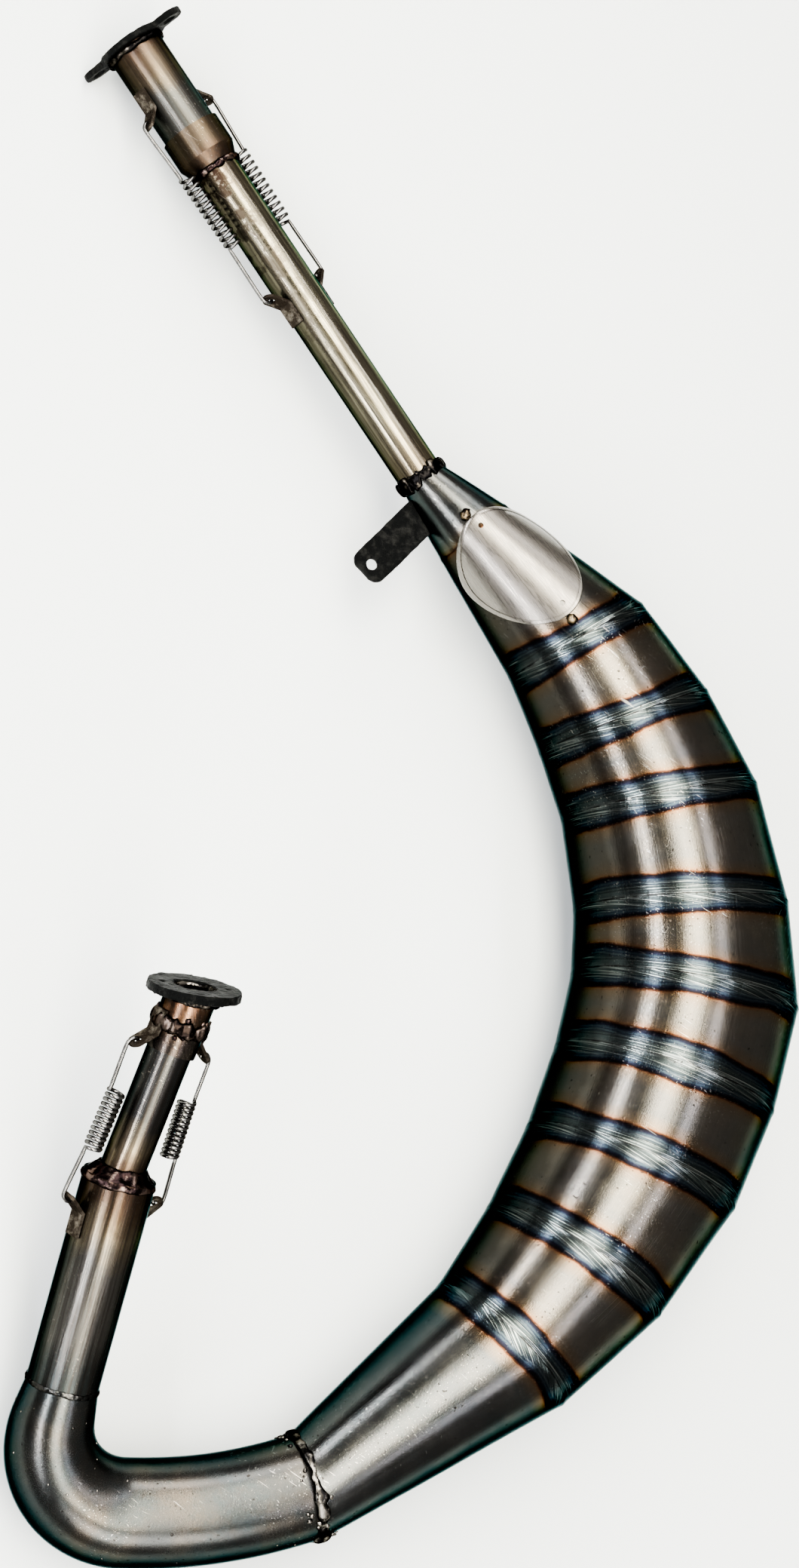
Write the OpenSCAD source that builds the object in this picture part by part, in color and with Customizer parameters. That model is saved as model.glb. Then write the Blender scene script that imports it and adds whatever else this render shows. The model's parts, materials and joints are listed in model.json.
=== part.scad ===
// Two-stroke racing exhaust: a segmented, welded expansion chamber with a
// bent header, a straight stinger and spring-held slip joints at both ends.
// It lies on its side, +Z up. The origin is the centre of the inlet flange's face.

/* [Inlet flange and neck] */
// Diameter of the round inlet flange
inlet_flange_d = 41; // [36:1:56]
// Thickness of the inlet flange
inlet_flange_t = 4; // [3:0.5:8]
// Diameter of the gas opening through the inlet flange
inlet_bore_d = 19; // [16:0.5:19.5]
// Pitch circle of the two small holes in the inlet flange
inlet_hole_pcd = 29; // [28:0.5:34]
// Diameter of the two small holes in the inlet flange
inlet_hole_d = 2.5; // [1.5:0.5:3.5]
// Angle between the inlet flange and the square end of its tube
inlet_flange_lean = 12; // [0:1:15]
// Length of the neck from the socket mouth to the flange face, on its axis
inlet_neck_len = 30; // [28:1:45]
// Length of the socket ring at the mouth of the neck
inlet_socket_len = 12; // [10:1:16]
// Wall of the inlet neck
inlet_neck_wall = 1.3; // [1:0.1:2]
// Depth that the slip tube enters the neck
inlet_insertion = 18; // [14:1:20]

/* [Header] */
// Outside diameter of the slip tube that enters the inlet neck
slip_tube_d = 20; // [18:0.5:22]
// Length of the slip tube outside the neck
slip_tube_free = 58; // [50:1:80]
// Turn of the slip tube from the header tube
slip_tube_kink = 6.5; // [0:0.5:8]
// Outside diameter of the header tube
header_d = 32; // [30:0.5:36]
// Length of the straight header tube
header_len = 95; // [80:1:130]
// Direction of the header tube, seen square to the chamber's plane
header_heading = 79; // [70:1:86]
// Rise of the header tube out of the chamber's plane
header_rise_angle = 20; // [0:1:25]
// Straight tapered stub between the header tube and the bend
bend_stub = 16; // [10:1:25]
// Radius of the bend at its centreline
bend_radius = 37; // [32:1:50]
// Length of the long curve between the bend and the first cone
bend_lead = 83; // [60:1:100]
// Turn of that curve
lead_turn = 20; // [8:1:30]
// Direction of that curve at the first cone, seen square to the chamber's plane
bend_heading = 17; // [10:1:24]

/* [Chamber diameters at the seams] */
// Where the bend meets the diffuser cone
seam_0_d = 48; // [45.5:0.5:50.5]
// End of the diffuser cone
seam_1_d = 78; // [74.0:0.5:82.0]
// End of segment 1
seam_2_d = 93.5; // [89.0:0.5:98.0]
// End of segment 2
seam_3_d = 104; // [99.0:0.5:109.0]
// End of segment 3
seam_4_d = 107; // [101.5:0.5:112.5]
// End of segment 4, the fullest part of the belly
seam_5_d = 108.5; // [103.0:0.5:114.0]
// End of segment 5
seam_6_d = 102; // [97.0:0.5:107.0]
// End of segment 6
seam_7_d = 95; // [90.0:0.5:100.0]
// End of segment 7
seam_8_d = 86; // [81.5:0.5:90.5]
// End of segment 8
seam_9_d = 73; // [69.5:0.5:76.5]
// End of the baffle cone
seam_10_d = 40.5; // [38.5:0.5:42.5]

/* [Chamber lengths between the seams] */
// Diffuser cone
diffuser_len = 111; // [98:1:128]
// Segment 1
segment_1_len = 52; // [46:1:60]
// Segment 2
segment_2_len = 52; // [46:1:60]
// Segment 3
segment_3_len = 45; // [40:1:52]
// Segment 4
segment_4_len = 43; // [38:1:49]
// Segment 5
segment_5_len = 41; // [36:1:47]
// Segment 6
segment_6_len = 51; // [45:1:59]
// Segment 7
segment_7_len = 42; // [37:1:48]
// Segment 8
segment_8_len = 45; // [40:1:52]
// Baffle cone
baffle_len = 71; // [62:1:82]
// Tail cone
tail_len = 36; // [32:1:41]

/* [Chamber turns at the seams] */
// From the diffuser cone to segment 1
seam_1_turn = 12.5; // [0:0.5:20]
// From segment 1 to segment 2
seam_2_turn = 10; // [0:0.5:20]
// From segment 2 to segment 3
seam_3_turn = 10.5; // [0:0.5:20]
// From segment 3 to segment 4
seam_4_turn = 8; // [0:0.5:20]
// From segment 4 to segment 5
seam_5_turn = 16.5; // [0:0.5:20]
// From segment 5 to segment 6
seam_6_turn = 10; // [0:0.5:20]
// From segment 6 to segment 7
seam_7_turn = 13.5; // [0:0.5:20]
// From segment 7 to segment 8
seam_8_turn = 7; // [0:0.5:20]
// From segment 8 to the baffle cone
seam_9_turn = 14; // [0:0.5:20]
// Direction of the diffuser cone in the chamber's plane
diffuser_heading = 34; // [28:1:40]
// Wall of the sheet-metal chamber and of the bend
sheet_wall = 1; // [0.8:0.1:2]
// Wall of the header tube, the slip tube and the stinger
tube_wall = 1.5; // [1:0.1:2.5]

/* [Chamber leans at the seams] */
// Lean of a seam from the mean direction of the pieces that it joins: bend and diffuser cone
seam_0_lean = -10; // [-15:0.5:15]
// Diffuser cone and segment 1
seam_1_lean = 4.5; // [-15:0.5:15]
// Segments 1 and 2
seam_2_lean = 4.5; // [-15:0.5:15]
// Segments 2 and 3
seam_3_lean = 5; // [-15:0.5:15]
// Segments 3 and 4
seam_4_lean = 0.5; // [-15:0.5:15]
// Segments 4 and 5
seam_5_lean = -3; // [-15:0.5:15]
// Segments 5 and 6
seam_6_lean = -4.5; // [-15:0.5:15]
// Segments 6 and 7
seam_7_lean = -7; // [-15:0.5:15]
// Segments 7 and 8
seam_8_lean = -7; // [-15:0.5:15]
// Segment 8 and the baffle cone
seam_9_lean = -8; // [-15:0.5:15]
// Baffle cone and tail cone
seam_10_lean = -3; // [-15:0.5:15]

/* [Stinger and outlet] */
// Outside diameter of the stinger tube
stinger_d = 22; // [18:0.5:26]
// Length of the stinger from the tail cone to the cup's floor
stinger_len = 183; // [150:1:220]
// Turn of the stinger back from the tail cone
stinger_turn = 10.5; // [0:0.5:15]
// Outside diameter of the outlet sleeve that slides in the cup
sleeve_d = 27; // [25:0.5:32]
// Wall of the outlet sleeve
sleeve_wall = 1.6; // [1:0.1:2.5]
// Length of the outlet sleeve from its end in the cup to the flange
sleeve_len = 60; // [45:1:75]
// Wall of the cup
cup_wall = 1.2; // [0.8:0.1:2]
// Depth of the cup
cup_depth = 14; // [12:1:18]
// Length of the cup's tapered base on the stinger
cup_taper = 6; // [4:0.5:10]
// Gap between the end of the sleeve and the floor of the cup
cup_floor_gap = 1.5; // [0.5:0.5:3]
// Thickness of the outlet flange
outlet_flange_t = 3; // [2:0.5:6]
// Diameter of the outlet flange's round middle
outlet_flange_d = 35; // [34:1:38]
// Diameter of the gas opening through the outlet flange
outlet_bore_d = 22; // [19:0.5:23]
// Distance between the two stud holes of the outlet flange
outlet_hole_pcd = 43; // [42:1:56]
// Diameter of a stud hole
outlet_hole_d = 6.5; // [5:0.5:7.5]
// Width of an ear of the outlet flange
outlet_ear_w = 14; // [12:0.5:18]
// Turn of the ears about the stinger, out of the chamber's plane
outlet_ear_turn = -38; // [-90:1:90]

/* [Tabs and springs] */
// Width of a spring tab
tab_w = 8; // [6.5:0.5:10]
// Thickness of a spring tab
tab_t = 1.5; // [1:0.1:2]
// Length of the leg that is welded along the tube
tab_leg = 11; // [8:0.5:16]
// Distance from the bend of a tab to its hole
tab_foot = 8; // [7:0.5:11]
// Angle between a tab's foot and the tube
tab_angle = 48; // [35:1:60]
// Diameter of the hole in a tab's foot
tab_hole_d = 3.6; // [3:0.1:4.5]
// Wire of a spring
wire_d = 1.25; // [1:0.05:1.5]
// Outside diameter of a spring's coil
coil_d = 8.6; // [7.5:0.1:10]
// Turns in a coil
coil_turns = 12; // [8:1:14]
// Rise of one turn of an inlet spring's coil
inlet_coil_pitch = 2.2; // [1.8:0.1:2.6]
// Rise of one turn of an outlet spring's coil
outlet_coil_pitch = 3.3; // [2:0.1:3.6]
// Turn of the inlet springs about the tube, out of the chamber's plane
inlet_spring_turn = 28; // [0:1:90]
// Turn of the outlet springs about the tube, out of the chamber's plane
outlet_spring_turn = 22; // [0:1:90]
// Distance from the socket mouth up to the bend of an inlet tab
inlet_tab_up = 6; // [3:0.5:10]
// Distance from the top of the header tube down to the bend of a header tab
header_tab_down = 17; // [12:1:25]
// Distance from the cup mouth up to the bend of an outlet tab
outlet_tab_up = 16; // [12:1:24]
// Distance from the tail cone up the stinger to the bend of a stinger tab
stinger_tab_up = 103; // [85:1:110]

/* [Bracket and badge plate] */
// Width of the mounting bracket
bracket_w = 18; // [14:1:24]
// Thickness of the mounting bracket
bracket_t = 2.5; // [1.5:0.5:5]
// Distance from the tail cone's axis to the bracket's hole
bracket_reach = 49; // [40:1:60]
// Diameter of the bracket's hole
bracket_hole_d = 5.5; // [4:0.5:8]
// Distance of the bracket along the tail cone from the stinger
bracket_along = 13; // [10:0.5:16]
// Distance from the bracket's hole to its end
bracket_edge = 6; // [5:0.5:10]
// Radius of the bracket's two free corners
bracket_corner = 5; // [2:0.5:6]
// Length of the blank badge plate along the baffle cone
badge_len = 64; // [50:1:66]
// Width of the blank badge plate
badge_w = 50; // [36:1:52]
// Thickness of the badge plate
badge_t = 0.8; // [0.5:0.1:1.5]
// Distance of the badge plate's middle from the tail cone's seam
badge_along = 25; // [24:1:34]
// Turn of the badge plate about the baffle cone, away from the top
badge_turn = 14; // [0:1:30]
// Diameter of the small holes near the ends of the badge plate
badge_hole_d = 2.6; // [2:0.1:3.5]
// Distance of such a hole from the end of the badge plate
badge_hole_inset = 6; // [4:0.5:9]
// Diameter of a tack weld on the badge plate's edge
tack_d = 5; // [3:0.5:7]

/* [Welds and fits] */
// Height of a weld bead
bead_h = 2; // [1:0.1:3]
// Width of a weld bead
bead_w = 6; // [4:0.5:8]
// Radial clearance of a slip joint
slip_clear = 0.05; // [0.02:0.01:0.1]
// Gap under a piece that lies on a cone or a tube
seat_gap = 0.05; // [0.02:0.01:0.2]

/* [Pose on the floor] */
// Roll of the chamber's plane that rests the belly and the bend on the floor
rest_roll_angle = 6.7; // [0:0.1:12]
// Pitch of the chamber's plane that rests the outlet flange on the floor
rest_pitch_angle = -0.2; // [-4:0.1:4]

/* [Hidden] */
$fn = 96;

// Number of sides of the swept bend and of the swept spring wire
bend_sides = 40;
cone_sides = 48;
wire_sides = 6;
// Rings per part of the bend, and per turn of a coil
stub_rings = 4;
arc_rings = 14;
lead_rings = 5;
turn_rings = 12;
// Share of a sheet's length by which its core runs past its seams
core_over_share = 0.25;
// Length by which a tube is made too long before a seam cuts it
cut_over = 16;
// Stations across a bead that follows two surfaces, its gap to them and its edge's thickness
bead_steps = [-1, -0.5, 0, 0.5, 1];
bead_gap = 0.1;
bead_edge = 0.4;
// Depth of a bead below its joint before its seat is cut
bead_root = 1;
// Share of a bead's height that the bead behind the inlet flange has
thin_bead = 0.6;
// Diameter of a tab's rounded end, a little over its width
tab_round_d = tab_w + 0.6;
// Step of the angle round the badge plate's edge
badge_step_angle = 6;
// Edge of the block that cuts at a seam
cut_block = 260;

// Unit vector in the chamber's plane, and one that also rises out of it
function heading(a) = [cos(a), sin(a), 0];
function rising(a, e) = [cos(a) * cos(e), sin(a) * cos(e), sin(e)];
function unit(v) = v / norm(v);
function sum_to(list, k) = k < 0 ? 0 : list[k] + sum_to(list, k - 1);

// The chamber is a chain of rolled sheets. Each seam is a circle in a plane square
// to the chamber's own, and a sheet runs straight from one seam's circle to the next.
seam_d = [
    seam_0_d, seam_1_d, seam_2_d, seam_3_d, seam_4_d, seam_5_d,
    seam_6_d, seam_7_d, seam_8_d, seam_9_d, seam_10_d, stinger_d
];
cone_len = [
    diffuser_len, segment_1_len, segment_2_len, segment_3_len, segment_4_len, segment_5_len,
    segment_6_len, segment_7_len, segment_8_len, baffle_len, tail_len
];
seam_turn = [
    0, seam_1_turn, seam_2_turn, seam_3_turn, seam_4_turn, seam_5_turn,
    seam_6_turn, seam_7_turn, seam_8_turn, seam_9_turn, 0
];
seam_lean = [
    seam_0_lean, seam_1_lean, seam_2_lean, seam_3_lean, seam_4_lean, seam_5_lean,
    seam_6_lean, seam_7_lean, seam_8_lean, seam_9_lean, seam_10_lean, 0
];
cones = len(cone_len);
cone_heading = [for (k = [0:cones - 1]) diffuser_heading + sum_to(seam_turn, k)];
function seam_point(k) = k == 0 ? [0, 0, 0]
    : seam_point(k - 1) + cone_len[k - 1] * heading(cone_heading[k - 1]);
stinger_heading = cone_heading[cones - 1] - stinger_turn;

// Direction square to seam k, along the gas flow
function heading_before(k) = k == 0 ? bend_heading : cone_heading[k - 1];
function heading_after(k) = k == cones ? stinger_heading : cone_heading[k];
function seam_normal(k) = heading((heading_before(k) + heading_after(k)) / 2 + seam_lean[k]);

// The bend, from the first seam back to the header tube
lead_radius = bend_lead / (lead_turn * PI / 180);
function lead_heading(share) = bend_heading - lead_turn * share;
function lead_point(share) = seam_point(0) - lead_radius
    * [sin(bend_heading) - sin(lead_heading(share)), cos(lead_heading(share)) - cos(bend_heading), 0];
bend_start = lead_point(1);
bend_start_dir = -heading(lead_heading(1));
header_dir = rising(header_heading, header_rise_angle);
bend_side_dir = unit(header_dir - (header_dir * bend_start_dir) * bend_start_dir);
bend_up_dir = cross(bend_start_dir, bend_side_dir);
bend_angle = acos(header_dir * bend_start_dir);
function bend_dir(a) = cos(a) * bend_start_dir + sin(a) * bend_side_dir;
function bend_point(a) = bend_start
    + bend_radius * (sin(a) * bend_start_dir + (1 - cos(a)) * bend_side_dir);
bend_end = bend_point(bend_angle);
header_start = bend_end + bend_stub * header_dir;
bend_arc_len = bend_radius * bend_angle * PI / 180;
bend_taper_len = bend_arc_len + bend_stub;
// Radius of the bend at a distance from the header tube
function bend_r(run) = header_d / 2
    + (seam_0_d - header_d) / 2 * sin(90 * min(run, bend_taper_len) / bend_taper_len);

// The header, its slip tube and the inlet neck
header_end = header_start + header_len * header_dir;
inlet_heading = header_heading - slip_tube_kink;
inlet_dir = rising(inlet_heading, header_rise_angle);
inlet_side = heading(inlet_heading + 90);
header_side = heading(header_heading + 90);
slip_len = slip_tube_free + inlet_insertion;
inlet_mouth = header_end + slip_tube_free * inlet_dir;
inlet_face = inlet_mouth + inlet_neck_len * inlet_dir;
inlet_normal = rising(inlet_heading + inlet_flange_lean, header_rise_angle);
neck_bore_d = slip_tube_d + 2 * slip_clear;
neck_d = neck_bore_d + 2 * inlet_neck_wall;

// The stinger, its cup and the outlet
stinger_dir = heading(stinger_heading);
stinger_side = heading(stinger_heading + 90);
stinger_start = seam_point(cones);
cup_floor = stinger_start + stinger_len * stinger_dir;
cup_bore_d = sleeve_d + 2 * slip_clear;
cup_d = cup_bore_d + 2 * cup_wall;
sleeve_start = cup_floor + cup_floor_gap * stinger_dir;
outlet_back = sleeve_start + sleeve_len * stinger_dir;
outlet_face = outlet_back + outlet_flange_t * stinger_dir;

// Directions from the tubes to their left springs
inlet_out = turned(inlet_side, inlet_dir, inlet_spring_turn);
header_out = turned(header_side, header_dir, inlet_spring_turn);
outlet_out = turned(stinger_side, stinger_dir, outlet_spring_turn);

// Bends of the tabs, as points on the tube axes
inlet_tab_at = inlet_mouth + inlet_tab_up * inlet_dir;
header_tab_at = header_end - header_tab_down * header_dir;
outlet_tab_at = cup_floor + (cup_depth + outlet_tab_up) * stinger_dir;
stinger_tab_at = stinger_start + stinger_tab_up * stinger_dir;

// Places children so that Z runs along z and X along x
module place(p, z, x) {
    y = cross(z, x);
    multmatrix([
        [x[0], y[0], z[0], p[0]],
        [x[1], y[1], z[1], p[1]],
        [x[2], y[2], z[2], p[2]],
        [0, 0, 0, 1]
    ]) children();
}

// A direction in the chamber's plane, square to a direction in that plane
function flat_side(d) = unit(cross([0, 0, 1], d));

// A side direction turned about its tube, up on the left
function turned(side, dir, a) = cos(a) * side + sin(a) * cross(side, -dir);

// Puts the chamber's plane as it lies on the floor, with the inlet face at the origin
module lay() {
    rotate([rest_pitch_angle, -rest_roll_angle, 0]) translate(-inlet_face) children();
}

module tube(d, wall, h) {
    difference() {
        cylinder(d = d, h = h);
        translate([0, 0, -1]) cylinder(d = d - 2 * wall, h = h + 2);
    }
}

// Everything beyond the plane through p with the normal n
module beyond(p, n) {
    place(p, n, flat_side(n))
        translate([-cut_block / 2, -cut_block / 2, 0]) cube(cut_block);
}

// A swept surface: a ring of points, the skin over a row of rings and the rim at an end.
// out turns the faces outwards, along the row for a rim at its start.
function ring(c, x, y, r, n) = [for (i = [0:n - 1]) c + r * (cos(360 * i / n) * x + sin(360 * i / n) * y)];
function skin(first, rings, n, out) = [
    for (j = [0:rings - 2]) for (i = [0:n - 1])
        let (a = first + j * n + i, b = first + j * n + (i + 1) % n)
        each out ? [[a, b + n, b], [a, a + n, b + n]] : [[a, b, b + n], [a, b + n, a + n]]
];
function rim(outer, inner, n, out) = [
    for (i = [0:n - 1])
        let (a = outer + i, b = outer + (i + 1) % n, c = inner + i, d = inner + (i + 1) % n)
        each out ? [[a, d, c], [a, b, d]] : [[a, c, d], [a, d, b]]
];

// A wall between two sets of rings
module swept_shell(outer, inner, sides) {
    rings = len(outer);
    count = rings * sides;
    last = count - sides;
    polyhedron(
        points = concat([for (r = outer) each r], [for (r = inner) each r]),
        faces = concat(
            skin(0, rings, sides, true),
            skin(count, rings, sides, false),
            rim(0, count, sides, true),
            rim(last, count + last, sides, false)
        )
    );
}

// Stations of the bend: point, direction and distance from the header tube
bend_stations = concat(
    [for (i = [0:stub_rings - 1]) let (run = bend_stub * i / stub_rings)
        [header_start - run * header_dir, header_dir, run]],
    [for (i = [0:arc_rings]) let (a = bend_angle * (1 - i / arc_rings))
        [bend_point(a), bend_dir(a), bend_stub + bend_arc_len * i / arc_rings]],
    [for (i = [lead_rings - 1:-1:1])
        [lead_point(i / lead_rings), -heading(lead_heading(i / lead_rings)), bend_taper_len]]
);
function bend_ring(c, d, r) =
    let (x = unit(cross(d, bend_up_dir))) ring(c, x, cross(x, d), r, bend_sides);
function bend_rings(inset) = concat(
    [for (s = bend_stations) bend_ring(s[0], s[1], bend_r(s[2]) - inset)],
    [bend_ring(seam_point(0), -seam_normal(0), seam_0_d / 2 - inset)]
);

module header_bend() {
    color("#8d8a84") lay() swept_shell(bend_rings(0), bend_rings(sheet_wall), bend_sides);
}

// The circle of seam k, made smaller by inset, and a ring between two others
function seam_ring(k, inset) = ring(seam_point(k), flat_side(seam_normal(k)), [0, 0, 1],
    seam_d[k] / 2 - inset, cone_sides);
function between(a, b, share) = [for (i = [0:len(a) - 1]) a[i] + share * (b[i] - a[i])];
// Rings of sheet k from a share of its length to another, inset from its outside
function sheet_rings(k, inset, from, to) =
    let (a = seam_ring(k, inset), b = seam_ring(k + 1, inset)) [between(a, b, from), between(a, b, to)];

module sheet(k) {
    lay() swept_shell(sheet_rings(k, 0, 0, 1), sheet_rings(k, sheet_wall, 0, 1), cone_sides);
}

// A solid between rings, closed at both ends
module core(rings, sides) {
    last = (len(rings) - 1) * sides;
    polyhedron(
        points = [for (r = rings) each r],
        faces = concat(
            skin(0, len(rings), sides, true),
            [[for (i = [0:sides - 1]) i]],
            [[for (i = [sides - 1:-1:0]) last + i]]
        )
    );
}

// The space inside the outer surface of sheet k and a little beyond its seams
module sheet_core(k, inset) {
    core(sheet_rings(k, inset, -core_over_share, 1 + core_over_share), cone_sides);
}

// A solid rod of diameter d about the line through p along z, for cutting a seat
module rod(p, z, d) {
    place(p, z, flat_side(z)) cylinder(d = d + 2 * seat_gap, h = 2 * cut_over, center = true);
}

// A bent strip on a tube of radius r. The leg lies along -Z, the foot leans out along +Z.
tab_end = tab_foot + tab_round_d / 2;
module tab(r) {
    difference() {
        rotate([90, 0, 0]) linear_extrude(tab_w, center = true) polygon([
            [r, -tab_leg],
            [r, 0],
            [r + tab_end * sin(tab_angle), tab_end * cos(tab_angle)],
            [
                r + tab_end * sin(tab_angle) + tab_t * cos(tab_angle),
                tab_end * cos(tab_angle) - tab_t * sin(tab_angle)
            ],
            [r + tab_t, -tab_t * tan(tab_angle / 2)],
            [r + tab_t, -tab_leg]
        ]);
        translate([r, 0, 0]) rotate([0, tab_angle, 0]) translate([-1, 0, tab_foot]) rotate([0, 90, 0])
            linear_extrude(tab_t + 2) {
                circle(d = tab_hole_d);
                difference() {
                    translate([-tab_w, -tab_w]) square([tab_w, 2 * tab_w]);
                    circle(d = tab_round_d);
                }
            }
    }
}

// Where the middle of a tab's hole lies, from its bend on the axis of a tube of radius r
function hook_out(r) = r + tab_foot * sin(tab_angle) + tab_t / 2 * cos(tab_angle);
function hook_along() = tab_foot * cos(tab_angle) - tab_t / 2 * sin(tab_angle);

// One hook end in the plane of the tube's axis: out of the hole, over the foot's tip.
// c is the hole's middle, out and up are unit vectors, up runs towards the other tab.
hook_clear = tab_t / 2 + wire_d / 2 + 0.7;
hook_tip = tab_w / 2 + wire_d / 2 + 0.6;
function hook_points(c, out, up) =
    let (
        through = cos(tab_angle) * out - sin(tab_angle) * up,
        foot = sin(tab_angle) * out + cos(tab_angle) * up
    )
    [
        c - 1.6 * through,
        c,
        c + 0.7 * hook_clear * through + 0.2 * foot,
        c + hook_clear * through + 1.2 * foot,
        c + hook_clear * through + (hook_tip - 1) * foot,
        c + 0.75 * hook_clear * through + hook_tip * foot
    ];

// The wire of a spring from hook a to hook b. out_a and out_b point away from the tubes.
function spring_path(a, out_a, up_a, b, out_b, up_b, pitch) =
    let (
        along = unit(b - a),
        out = unit(out_a - (out_a * along) * along),
        side = cross(along, out),
        r = (coil_d - wire_d) / 2,
        coil_len = coil_turns * pitch,
        start = (a + b) / 2 - coil_len / 2 * along,
        steps = coil_turns * turn_rings,
        lead = wire_d * 1.2
    )
    concat(
        hook_points(a, out_a, up_a),
        [start - 2 * lead * along + r * out, start - lead * along + r * out],
        [for (i = [0:steps]) let (t = 360 * i / turn_rings)
            start + coil_len * i / steps * along + r * (cos(t) * out + sin(t) * side)],
        [start + (coil_len + lead) * along + r * out, start + (coil_len + 2 * lead) * along + r * out],
        [for (i = [5:-1:0]) hook_points(b, out_b, up_b)[i]]
    );

// A wire of constant size along a path, with rings that don't twist
module wire(path) {
    n = len(path);
    dirs = [for (i = [0:n - 1]) unit(path[min(i + 1, n - 1)] - path[max(i - 1, 0)])];
    start_x = unit(cross(dirs[0], abs(dirs[0][2]) < 0.9 ? [0, 0, 1] : [1, 0, 0]));
    frames = [for (i = 0, x = start_x; i < n;
        i = i + 1, x = i < n ? unit(x - (x * dirs[i]) * dirs[i]) : x) x];
    rings = [for (i = [0:n - 1]) ring(path[i], frames[i], cross(dirs[i], frames[i]), wire_d / 2, wire_sides)];
    core(rings, wire_sides);
}

// A bead in the corner between a tube of radius r and the face at z = 0 below it
module corner_bead(r, h) {
    rotate_extrude() polygon([
        [r - bead_root, 0], [r + h, 0], [r + h * 0.7, bead_w * 0.45], [r - bead_root, bead_w * 0.6]
    ]);
}

// A rounded bead around a joint of radius r
module ring_bead(r) {
    rotate_extrude() translate([r, 0]) intersection() {
        translate([-bead_root, -bead_w / 2]) square([bead_h + bead_root, bead_w]);
        translate([bead_h - bead_w * 0.625, 0]) circle(d = bead_w * 1.25);
    }
}

module inlet_flange() {
    color("#3b3a38") lay() place(inlet_face, inlet_normal, flat_side(inlet_normal)) difference() {
        translate([0, 0, -inlet_flange_t]) cylinder(d = inlet_flange_d, h = inlet_flange_t);
        translate([0, 0, -inlet_flange_t - 1]) cylinder(d = inlet_bore_d, h = inlet_flange_t + 2);
        for (s = [-1, 1]) translate([s * inlet_hole_pcd / 2, 0, -inlet_flange_t - 1])
            cylinder(d = inlet_hole_d, h = inlet_flange_t + 2);
    }
}

// The plane of the inlet flange's back
inlet_back = inlet_face - inlet_flange_t * inlet_normal;

module inlet_stub() {
    color("#6b5040") lay() difference() {
        place(inlet_mouth + inlet_socket_len * inlet_dir, inlet_dir, inlet_side)
            tube(neck_d, inlet_neck_wall, inlet_neck_len);
        beyond(inlet_back, inlet_normal);
    }
}

module inlet_socket() {
    color("#75695c") lay() place(inlet_mouth, inlet_dir, inlet_side)
        tube(neck_d, inlet_neck_wall, inlet_socket_len);
}

module inlet_neck_weld() {
    color("#4a3a31") lay() difference() {
        place(inlet_mouth + inlet_socket_len * inlet_dir, inlet_dir, inlet_side) ring_bead(neck_d / 2);
        rod(inlet_mouth + inlet_socket_len * inlet_dir, inlet_dir, neck_d);
        for (s = [-1, 1]) place(inlet_tab_at, -inlet_dir, s * inlet_out)
            translate([0, -tab_w / 2 - seat_gap, -2 * tab_leg])
                cube([neck_d, tab_w + 2 * seat_gap, 2 * tab_leg]);
    }
}

module inlet_flange_weld() {
    color("#2e2a27") lay() difference() {
        place(inlet_back, -inlet_normal, flat_side(inlet_normal))
            corner_bead(neck_d / 2 / cos(inlet_flange_lean), bead_h * thin_bead);
        rod(inlet_face, inlet_dir, neck_d);
    }
}

module inlet_tab(s) {
    color("#7a6a5c") lay() place(inlet_tab_at, -inlet_dir, s * inlet_out) tab(neck_d / 2);
}
module inlet_tab_left() { inlet_tab(1); }
module inlet_tab_right() { inlet_tab(-1); }

module header_tab(s) {
    color("#55504b") lay() place(header_tab_at, header_dir, s * header_out) tab(header_d / 2);
}
module header_tab_left() { header_tab(1); }
module header_tab_right() { header_tab(-1); }

module inlet_spring(s) {
    a = inlet_tab_at - hook_along() * inlet_dir + s * hook_out(neck_d / 2) * inlet_out;
    b = header_tab_at + hook_along() * header_dir + s * hook_out(header_d / 2) * header_out;
    color("#b9b9b7") lay() wire(spring_path(a, s * inlet_out, -inlet_dir, b, s * header_out,
        header_dir, inlet_coil_pitch));
}
module inlet_spring_left() { inlet_spring(1); }
module inlet_spring_right() { inlet_spring(-1); }

module header_slip_tube() {
    color("#9b958c") lay() difference() {
        place(header_end - cut_over * inlet_dir, inlet_dir, inlet_side)
            tube(slip_tube_d, tube_wall, slip_len + cut_over);
        beyond(header_end, -header_dir);
    }
}

module header_slip_weld() {
    color("#3a2d27") lay() difference() {
        place(header_end, header_dir, header_side) corner_bead(slip_tube_d / 2 / cos(slip_tube_kink), bead_h);
        rod(header_end, inlet_dir, slip_tube_d);
    }
}

// The header tube, with an end plate that the slip tube stands on
module header_tube() {
    color("#a39d93") lay() place(header_start, header_dir, header_side) difference() {
        cylinder(d = header_d, h = header_len);
        translate([0, 0, -1]) cylinder(d = header_d - 2 * tube_wall, h = header_len - tube_wall + 1);
        translate([0, 0, -1]) cylinder(d = slip_tube_d - 2 * tube_wall, h = header_len + 2);
    }
}

// Rings of the beads that follow two surfaces. along runs from -1 to 1 across the bead.
bead_half = bead_w / 2;
function elbow_ring(along, inset) =
    ring(header_start + along * bead_half * header_dir, header_side, cross(header_dir, header_side),
        (along < 0 ? bend_r(-along * bead_half) : header_d / 2) - inset, cone_sides);
function lead_ring(inset) =
    ring(lead_point(1 / lead_rings), flat_side(heading(lead_heading(1 / lead_rings))), [0, 0, 1],
        seam_0_d / 2 - inset, cone_sides);
function diffuser_ring(along, inset) = along < 0
    ? between(seam_ring(0, inset), lead_ring(inset), -along * bead_half * lead_rings / bend_lead)
    : between(seam_ring(0, inset), seam_ring(1, inset), along * bead_half / diffuser_len);
function stinger_ring(along, inset) = along > 0
    ? ring(stinger_start + along * bead_half * stinger_dir, flat_side(stinger_dir), [0, 0, 1],
        stinger_d / 2 - inset, cone_sides)
    : between(seam_ring(cones, inset), seam_ring(cones - 1, inset), -along * bead_half / tail_len);
// How far the bead's outside stands off the metal
function bead_rise(along) = bead_edge + (bead_h - bead_edge) * cos(90 * along);

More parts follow.
